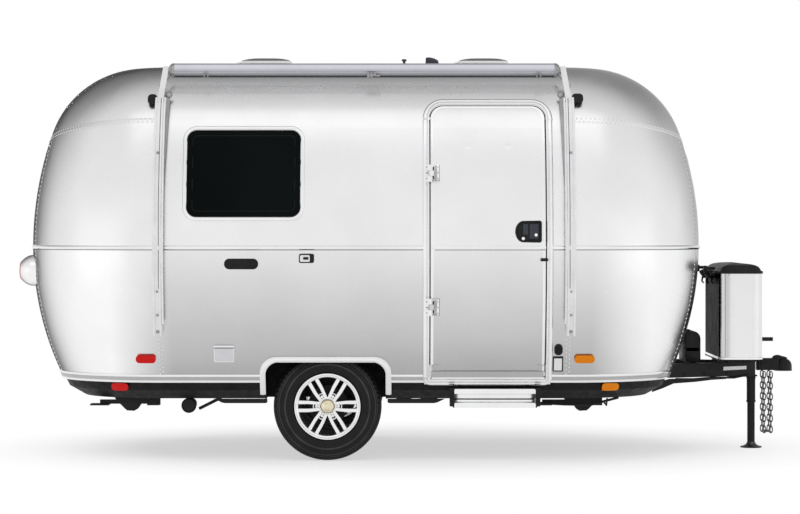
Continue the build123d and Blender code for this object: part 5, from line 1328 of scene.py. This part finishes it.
def build_battery():
    """The battery's case, with a strap round its middle, a ribbed side and the vent plug on top."""
    case = Build()
    low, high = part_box("battery_box")
    top, strap_z = high.z - 0.012, low.z + 0.075
    profile = [(low.x, low.z), (high.x, low.z), (high.x, top - 0.062)]
    profile += arc((high.x - 0.048, top - 0.05), 0.048, 0, 90, 8, tall=0.05)
    profile += [(low.x + 0.012, top), (low.x + 0.003, top - 0.004), (low.x, top - 0.016)]
    ends = [(low.y, 0.006), (low.y + 0.002, 0.002), (low.y + 0.008, 0.0)]
    ends += [(high.y - 0.008, 0.0), (high.y - 0.002, 0.002), (high.y, 0.006)]
    case.cushion(profile, ((low.x + high.x) / 2, (low.z + top) / 2), ends)
    for y in (low.y, high.y - 0.003):
        case.box((low.x + 0.004, y, strap_z), (high.x - 0.010, y + 0.003, strap_z + 0.024), 0.001)
    case.box((high.x - 0.003, low.y + 0.01, strap_z), (high.x, high.y - 0.01, strap_z + 0.024), 0.001)
    for y in steps(low.y + 0.06, high.y - 0.06, 4):
        rib_low = (high.x - 0.004, y - 0.008, low.z + 0.006)
        case.box(rib_low, (high.x - 0.0004, y + 0.008, strap_z - 0.006), 0.0015)
    case.lathe(VENT_PLUG, (low.x + 0.024, low.y + 0.05, top - 0.001), Z, 20)
    case.finish("battery_case", "plastic", replaces=("battery_box",))


LINK_HALF_LONG, LINK_HALF_WIDE, LINK_WIRE = 0.0222, 0.0104, 0.004


def separate_parts(mesh):
    """The vertices of each closed shape in a mesh, joined where they lie on one spot."""
    parent = list(range(len(mesh.vertices)))

    def root(i):
        while parent[i] != i:
            parent[i] = parent[parent[i]]
            i = parent[i]
        return i

    places, groups = {}, {}
    for vert in mesh.vertices:
        twin = places.setdefault(tuple(round(c, 5) for c in vert.co), vert.index)
        if twin != vert.index:
            parent[root(vert.index)] = root(twin)
    for poly in mesh.polygons:
        first = root(poly.vertices[0])
        for other in poly.vertices[1:]:
            parent[root(other)] = first
    for vert in mesh.vertices:
        groups.setdefault(root(vert.index), []).append(vert.co)
    return groups.values()


def build_chains():
    """The two safety chains: an oval ring of round wire where each of the solids' links is."""
    links = Build()
    for members in separate_parts(nodes["safety_chains"].data):
        low, high = (Vector(limit(c[k] for c in members) for k in range(3)) for limit in (min, max))
        order = sorted(range(3), key=lambda k: (high - low)[k])
        along, flat = (X, Y, Z)[order[2]], (X, Y, Z)[order[0]]
        aside = along.cross(flat)
        path = []
        for turn in (2 * math.pi * k / 20 for k in range(20)):
            reach, squared = math.cos(turn), math.copysign(abs(math.sin(turn)) ** 0.6, math.sin(turn))
            point = (low + high) / 2 + along * LINK_HALF_LONG * reach
            path.append(point + aside * LINK_HALF_WIDE * squared)
        links.tube(path, LINK_WIRE, 8, closed=True)
    links.finish("chain_links", "chain", replaces=("safety_chains",))


CRANK_Z = 0.716
# height, outer radius in millimetres, height of the band in millimetres
JACK_BANDS = ((0.300, 30.5, 12), (0.455, 30.5, 14), (0.760, 31.5, 12))
JACK_FOOT = ((0, 0), (70, 0), (70, 4), (66, 8), (50, 12.5), (34, 22), (26.2, 36), (25.2, 36), (0, 36))


def build_jack():
    """Bands, a crank with a ribbed grip, and a dished foot."""
    bands, foot = builds(2)
    foot_low, foot_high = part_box("jack_leg")
    jack_x = (foot_low.x + foot_high.x) / 2
    for z, radius, tall in JACK_BANDS:
        band = ((28.2, 0), (radius, 0), (radius + 1, tall / 2), (radius, tall), (28.2, tall))
        bands.lathe(band, (jack_x, 0, z), Z, 32)
    for k in range(7):
        grip_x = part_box("jack_tube")[1].x - 0.068 + k * 0.0098
        bands.lathe(((11, 0), (13.2, 1.5), (13.2, 4.5), (11, 6)), (grip_x, 0, CRANK_Z), X, 20)
    foot.lathe(JACK_FOOT, (jack_x, 0, 0), Z)
    bands.finish("jack_bands", "black")
    foot.finish("jack_foot_dish", "chain", "jack_leg")


BALL_SOCKET = (
    (25.8, 0), (58, 0), (58, 30), (56, 44), (50, 60), (38, 72), (22, 79), (0, 81), (0, 46), (18, 40),
    (25.8, 22),
)
BALL_LIP = ((54, 0), (60, 0), (60, 5), (57, 8), (54, 8))
BALL_LIP_R = 0.060
CHANNEL_SLICES = (
    (-0.050, 0.008), (-0.046, 0.002), (-0.040, 0.0), (0.040, 0.0), (0.046, 0.002), (0.050, 0.008),
)
LATCH_SLICES = ((-0.022, 0.004), (-0.018, 0.0), (0.018, 0.0), (0.022, 0.004))
# the latch's trigger: out from the ball, and down from the coupler's top
TRIGGER = ((0.012, 0.012), (0.026, 0.018), (0.022, 0.024), (0.006, 0.026))


def build_coupler():
    """The pressed channel, its sloping nose over the ball, the lip, the latch with its trigger, and bolts."""
    body = Build()
    low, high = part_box("coupler")
    ball_x = high.x - BALL_LIP_R
    foot_z, edge_z, top_z = low.z + 0.004, high.z - 0.026, high.z - 0.022
    channel = [(low.x, foot_z), (low.x, edge_z), (low.x + 0.02, top_z), (ball_x - 0.07, top_z)]
    channel += [(ball_x - 0.03, edge_z), (ball_x - 0.028, foot_z)]
    body.cushion(channel, ((low.x + ball_x) / 2, (low.z + high.z) / 2), CHANNEL_SLICES)
    for profile in (BALL_SOCKET, BALL_LIP):
        body.lathe(profile, (ball_x, 0, low.z), Z, 44)
    hump = [(ball_x - 0.076, high.z - 0.024)]
    hump += arc((ball_x - 0.036, high.z - 0.024), 0.036, 165, 45, 8, tall=0.0235)
    hump += [(ball_x + out, high.z - down) for out, down in TRIGGER]
    body.grid([
        [Vector((x, y, z - (inset if z > top_z else 0))) for x, z in hump] for y, inset in LATCH_SLICES
    ])
    for x in (low.x + 0.03, low.x + 0.09):
        for way in (-1, 1):
            body.dome((x, way * 0.050, low.z + 0.045), way * Y, 0.011, 0.006, 6)
    body.finish("coupler_body", "black", replaces=("coupler",))


# a rail's slant, a point of its middle line, and half its width
RAIL_ANGLE = math.radians(25)
RAIL_TIP = (2.25, 0.062)
RAIL_HALF = 0.025
RAIL_OUT = Vector((math.sin(RAIL_ANGLE), -math.cos(RAIL_ANGLE), 0))
RAIL_PLATE = ((2.03, 0.519), (2.19, 0.523), (2.19, 0.545), (2.03, 0.543))
RAIL_PIPE = ((1.70, 0.472), (1.82, 0.468), (1.95, 0.474), (2.1, 0.470), (2.2, 0.486))
RAIL_BOLTS_X, RAIL_BOLTS_Z = (1.76, 1.9, 2.05), 0.50
GUSSET = (
    (1.56, 0.45), (1.665, 0.4735), (2.06, 0.4735), (2.05, 0.462), (1.955, 0.459), (1.84, 0.449),
    (1.69, 0.4425), (1.61, 0.412), (1.545, 0.392),
)


def rail_face(x, z, stand=0.0):
    """A point on the outer face of the drawbar's right rail."""
    y = -(RAIL_TIP[1] + (RAIL_TIP[0] - x) * math.tan(RAIL_ANGLE))
    return Vector((x, y, z)) + RAIL_OUT * (RAIL_HALF + stand)


def build_drawbar_details():
    """The blank plate on the right rail, its bolts and the pipe under it, and a gusset under each rail."""
    plate, gusset, pipe = builds(3)
    plate.prism([rail_face(x, z, 0.0002) for x, z in RAIL_PLATE], RAIL_OUT, 0.0015)
    for mirror in (Vector((1, 1, 1)), Vector((1, -1, 1))):
        gusset.prism([rail_face(x, z, -0.012) * mirror for x, z in GUSSET], RAIL_OUT * mirror, 0.008)
    pipe.tube([rail_face(x, z, 0.004) for x, z in RAIL_PIPE], 0.007, 10)
    for x in RAIL_BOLTS_X:
        pipe.dome(rail_face(x, RAIL_BOLTS_Z), RAIL_OUT, 0.010, 0.006, 6)
    plate.finish("rail_plate", "white")
    gusset.finish("rail_gussets", "black")
    pipe.finish("rail_pipe", "soft")


build_tank_lid()
build_cover_details()
build_battery()
build_chains()
build_jack()
build_coupler()
build_drawbar_details()

# ---------------------------------------------------------------- step, underside and roof
# each tread's height, and how far its edge lies behind the step's
TREADS = ((0.422, 0.006), (0.336, 0.0))


def build_step_details():
    """Ribbed tread faces, the risers between them, and end brackets with bolts."""
    ribs, riser, line, brackets = builds(4)
    low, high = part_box("step_treads")
    for z, back in TREADS:
        edge = low.y + back
        bars = [(edge, z + 0.004 + k * 0.0055, 0.0016) for k in range(4)]
        bars += [(edge + 0.008 + k * 0.006, z + 0.026, 0.0014) for k in range(9)]
        for y, up, radius in bars:
            ribs.tube([(low.x + 0.004, y, up), (high.x - 0.004, y, up)], radius, 6)
    for build, near, far, bottom, top, bevel in (
        (riser, 0.060, 0.068, 0.389, 0.421, 0.002), (riser, 0.052, 0.060, 0.361, 0.383, 0.002),
        (line, 0.062, 0.067, 0.382, 0.390, 0.001),
    ):
        build.box((low.x + 0.002, low.y + near, bottom), (high.x - 0.002, low.y + far, top), bevel)
    for low_x, high_x, draw_low, draw_high in (
        (low.x - 0.034, low.x + 0.002, 0.004, 0), (high.x - 0.002, high.x + 0.034, 0, 0.004)
    ):
        brackets.box((low_x, low.y + 0.004, 0.398), (high_x, low.y + 0.046, 0.456), 0.006)
        lower = (low_x + draw_low, low.y + 0.006, 0.342)
        brackets.box(lower, (high_x - draw_high, low.y + 0.040, 0.412), 0.008)
        for z in (0.362, 0.408, 0.442):
            brackets.dome(((low_x + high_x) / 2, low.y + 0.004, z), -Y, 0.010, 0.006, 8)
    ribs.finish("tread_ribs", "trim", "step")
    riser.finish("step_riser", "trim", "step")
    line.finish("step_riser_line", "soft", "step", "black_steel")
    brackets.finish("step_brackets", "black", "step")


PAN_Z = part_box("belly_pan")[0].z
STABILIZER_PLATE = (
    (-0.115, 0), (-0.105, -0.018), (-0.050, -0.074), (-0.035, -0.086), (0.010, -0.088), (0.028, -0.078),
    (0.052, -0.044), (0.060, -0.042), (0.092, -0.042), (0.098, -0.024), (0.112, 0),
)
# X of the stabilizers' plates with the way that each faces, and their Y
PLATE_ENDS = ((-1.770, 1), (1.07, -1))
PLATES_Y = (0.66, 0.734, -0.74, -0.666)
# X of each skirt's near and far end, with the way that it runs from the wheel
SKIRT_ENDS = ((-0.905, -1.24, -1), (-0.155, 0.205, 1))
SKIRT_Y = 0.97
DRAIN_Y = -0.80
ORANGE_DEGREES, ORANGE_Z = 19.5, 0.46
DRAIN_CAP = ((0, 0), (47, 0), (47, 16), (40, 22), (36, 18), (0, 18))
# radius and path of each hose
HOSES = (
    (0.009, ((-0.10, -0.72, PAN_Z - 0.008), (0.02, -0.74, PAN_Z - 0.022), (0.16, -0.76, PAN_Z - 0.006))),
    (0.008, (
        (0.80, -0.86, 0.352), (0.95, -0.88, 0.345), (1.12, -0.86, 0.340), (1.21, -0.84, 0.362),
        (1.30, -0.80, PAN_Z))),
    (0.006, ((1.21, -0.84, 0.352), (1.22, -0.86, 0.336), (1.226, -0.86, PAN_Z))),
)


def build_underside():
    """The stabilizer plates, the skirts by the wheels, the drain's strut and cap, and the hoses."""
    plates, hoses, orange, valve = builds(4)
    for x, way in PLATE_ENDS:
        for y in PLATES_Y:
            plates.prism([(x + way * px, y, PAN_Z + pz) for px, pz in STABILIZER_PLATE], Y, 0.006)
    for near, far, way in SKIRT_ENDS:
        skirt = (
            (near, 0.004), (near, -0.018), (near + way * 0.01, -0.024), (far - way * 0.07, -0.024),
            (far - way * 0.05, -0.020), (far, 0.004),
        )
        for y in (SKIRT_Y, -SKIRT_Y):
            plates.prism([(px, y, PAN_Z + pz) for px, pz in skirt], Y, 0.004)
    low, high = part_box("drain_outlet")
    mid_x = (low.x + high.x) / 2
    plates.tube([(mid_x + 0.06, DRAIN_Y, low.z + 0.02), (mid_x + 0.20, DRAIN_Y, PAN_Z)], 0.010, 8)
    for radius, path in HOSES:
        hoses.tube(path, radius, 8)
    place = on_skin(corner_station(FRONT, RIGHT, ORANGE_DEGREES), ORANGE_Z, -0.012)[0]
    drop = ((0, 0, 0.020), (0, -0.004, 0), (-0.003, 0, -0.030))
    orange.tube([place + Vector(step) for step in drop], 0.0035, 8)
    valve.lathe(DRAIN_CAP, (mid_x, low.y + 0.016, (low.z + PAN_Z) / 2 - 0.001), -Y, 32)
    plates.finish("underside_plates", "black")
    hoses.finish("underside_hoses", "soft")
    orange.finish("orange_line", "orange")
    valve.finish("drain_cap", "plastic")


VENT_HALF, VENT_SKIRT_HALF, VENT_HINGE_Y = 0.165, 0.176, 0.09
RIM_LEVELS = ((4, 0), (0, 1), (0, 14.5), (2, 16.5))
DOME_LEVELS = ((4, 15), (3, 17.5), (10, 21.5), (24, 26.5), (48, 32.5), (80, 37.5), (112, 40.5), (140, 41.8))
SKIRT_PROFILE = ((-14, -2), (-14, 2), (6, 4), (6, -2))


def build_vent(name):
    """A roof vent's lid: a white rim, a smoked dome and its hinge ears, with a skirt round the base."""
    rim, dome, skirt = builds(3)
    low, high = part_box(f"vent_lid_{name}")
    mid_x = high.x - VENT_HALF
    for build, levels in ((rim, RIM_LEVELS), (dome, DOME_LEVELS)):
        build.stack((mid_x - VENT_HALF, -VENT_HALF), (high.x, VENT_HALF), levels, high.z - 0.0425,
                    lambda inset: max(0.014, 0.05 - inset * 0.3))
    for y in (-VENT_HINGE_Y, VENT_HINGE_Y):
        hinge_pin(dome, (low.x + 0.0095, y, high.z - 0.042), 0.0085, 0.025)
        ear_low = (low.x + 0.006, y - 0.022, high.z - 0.046)
        dome.box(ear_low, (mid_x - 0.155, y + 0.022, high.z - 0.036), 0.003)
    reach = VENT_SKIRT_HALF
    base = plan_outline((mid_x - reach, -reach), (mid_x + reach, reach), 0.034)
    skirt.ring([Vector((*p, ROOF_Z)) for p in base], [Z] * len(base), SKIRT_PROFILE)
    body = f"vent_lid_{name}"
    dome.finish(f"vent_dome_{name}", "smoke", body, replaces=(body,))
    rim.finish(f"vent_rim_{name}", "white", body, "smoke_plastic")
    skirt.finish(f"vent_skirt_{name}", "white")


ANTENNA_LEVELS = ((0, 0), (0, 30), (6, 40), (16, 44.5), (40, 46))
ANTENNA_STUB = ((0, 0), (9, 0), (9, 24), (17, 26), (17, 34), (12, 38), (0, 39))
# across, how far the top drops, how far the ends draw in
FIN_SLICES = (
    (-0.036, 0.016, 0.010), (-0.030, 0.004, 0.003), (-0.016, 0, 0), (0.016, 0, 0), (0.030, 0.004, 0.003),
    (0.036, 0.016, 0.010),
)


def build_antenna():
    """A low dome, a fin that is steep behind and slopes down to the front, and a small stub at the rear."""
    antenna = Build()
    low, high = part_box("antenna")
    antenna.stack(low, high, ANTENNA_LEVELS, low.z, lambda inset: 0.05 - inset * 0.5)
    root = low.z + 0.036
    rows = []
    for y, drop, draw in FIN_SLICES:
        top = high.z - drop
        fin = (
            (0.090 + draw, root), (0.093 + draw, top - 0.004), (0.100 + draw, top), (0.122, top),
            (0.150, top - 0.007), (0.175 - draw, top - 0.020), (0.184 - draw, root),
        )
        rows.append([Vector((x, y, z)) for x, z in fin])
    antenna.grid(rows)
    antenna.lathe(ANTENNA_STUB, (low.x + 0.028, 0, low.z + 0.040), Z, 20)
    antenna.finish("antenna_fin", "smoke", slot="black_plastic", replaces=("antenna",))


build_step_details()
build_underside()
build_vent("front")
build_vent("rear")
build_antenna()

# ---------------------------------------------------------------- stage and light
FLOOR_HALF = 400
# how far the shadow's floor reaches along and across, and the share of that where it starts to fade
FLOOR_REACH = (3.0, 2.3)
FADE_START = 0.58
# brightness of the light that rough surfaces get from all round
AMBIENT = 0.92


def directly_seen(mat):
    """1 for what the camera, a mirror or glass sees, 0 for light on a rough surface."""
    path = add_node(mat, "LightPath").outputs
    seen = maths(mat, "ADD", path["Is Camera Ray"], path["Is Glossy Ray"])
    return maths(mat, "ADD", seen, path["Is Transmission Ray"])


def build_floor():
    """A pale matt floor that keeps the shadow, lightened by a painted glow, and turns into plain white away
    from the caravan.
    """
    mesh = bpy.data.meshes.new("studio_floor")
    corners = [(FLOOR_HALF * x, FLOOR_HALF * y, 0) for x, y in ((-1, -1), (1, -1), (1, 1), (-1, 1))]
    mesh.from_pydata(corners, [], [(0, 1, 2, 3)])
    floor = bpy.data.objects.new("studio_floor", mesh)
    bpy.context.collection.objects.link(floor)
    mat = new_material("studio_floor", grey(0.92), roughness=0.9, Specular_IOR_Level=0.0)
    vary_color(mat, noise(mat, 0.3, 2), grey(0.915), grey(0.925))
    reach = vector_maths(mat, "LENGTH", place_of(mat, (1 / FLOOR_REACH[0], 1 / FLOOR_REACH[1], 1)))
    away = share_of(mat, reach, FADE_START, 1.0)
    # painted light near the caravan: what the camera, mirrors and glass see is six parts glow to four parts
    # lit floor, and the glow is painted a little darker there
    fade = maths(mat, "MULTIPLY", spread(mat, away, 0.6, 1.0, 0, 1), directly_seen(mat))
    white = add_node(mat, "Emission", {"Color": spread(mat, away, 0.96, 1.0, 0, 1)})
    blend = add_node(mat, "MixShader", {0: fade, 1: shader_of(mat).outputs[0], 2: white.outputs[0]})
    mat.node_tree.links.new(blend.outputs[0], mat.node_tree.nodes["Material Output"].inputs["Surface"])
    mesh.materials.append(mat)


def build_world():
    """One soft studio surround, which the camera, metal and glass all see, and even light for the rest."""
    world = bpy.data.worlds.new("studio")
    bpy.context.scene.world = world
    world.use_nodes = True
    x, y, z = split(world, add_node(world, "TexCoord").outputs["Generated"])
    before = ramp(world, z, ((0.2, 1.0), (0.5, 0.92), (0.8, 0.82), (1.0, 0.72)))
    beyond = ramp(world, z, ((0.12, 1.0), (0.42, 0.5), (0.75, 0.28), (1.0, 0.5)))
    sky = mix_color(world, share_of(world, y, -0.1, 0.45), before, beyond)
    # dimmer to each side of the white backdrop, so that the round ends show an edge, but for a white horizon
    beside = share_of(world, maths(world, "ABSOLUTE", x), 0.2, 0.4)
    behind = share_of(world, y, 0.4, 0.6)
    above = share_of(world, maths(world, "ABSOLUTE", z), 0.012, 0.02)
    dimmed = maths(world, "MULTIPLY", maths(world, "MULTIPLY", beside, behind), above)
    surround = mix_color(world, 1, sky, spread(world, dimmed, 1, 0.85, 0, 1), "MULTIPLY")
    color = mix_color(world, directly_seen(world), (*grey(AMBIENT), 1), surround)
    world.node_tree.links.new(color, world.node_tree.nodes["Background"].inputs["Color"])


# name, place, aim, width, height, brightness that it adds in a mirror
LIGHTS = (
    ("top_strip", (0, -5.05, 7.25), (0, -1.05, 2.15), 11.0, 3.4, 0.35),
    ("left_panel", (-6.5, -4.2, 1.3), (-1.8, -0.6, 1.0), 5.0, 2.4, 0.12),
    ("right_panel", (6.5, -4.2, 1.3), (1.8, -0.6, 1.0), 5.0, 2.4, 0.12),
)


def build_lights():
    """Soft panels. A panel's power is set from how bright it looks: pi x brightness x area."""
    for name, place, aim, width, height, brightness in LIGHTS:
        data = bpy.data.lights.new(name, "AREA")
        data.shape = "RECTANGLE"
        data.size = width
        data.size_y = height
        data.energy = math.pi * brightness * width * height
        lamp = bpy.data.objects.new(name, data)
        lamp.location = place
        lamp.rotation_euler = (Vector(aim) - Vector(place)).to_track_quat("-Z", "Y").to_euler()
        bpy.context.collection.objects.link(lamp)


build_floor()
build_world()
build_lights()
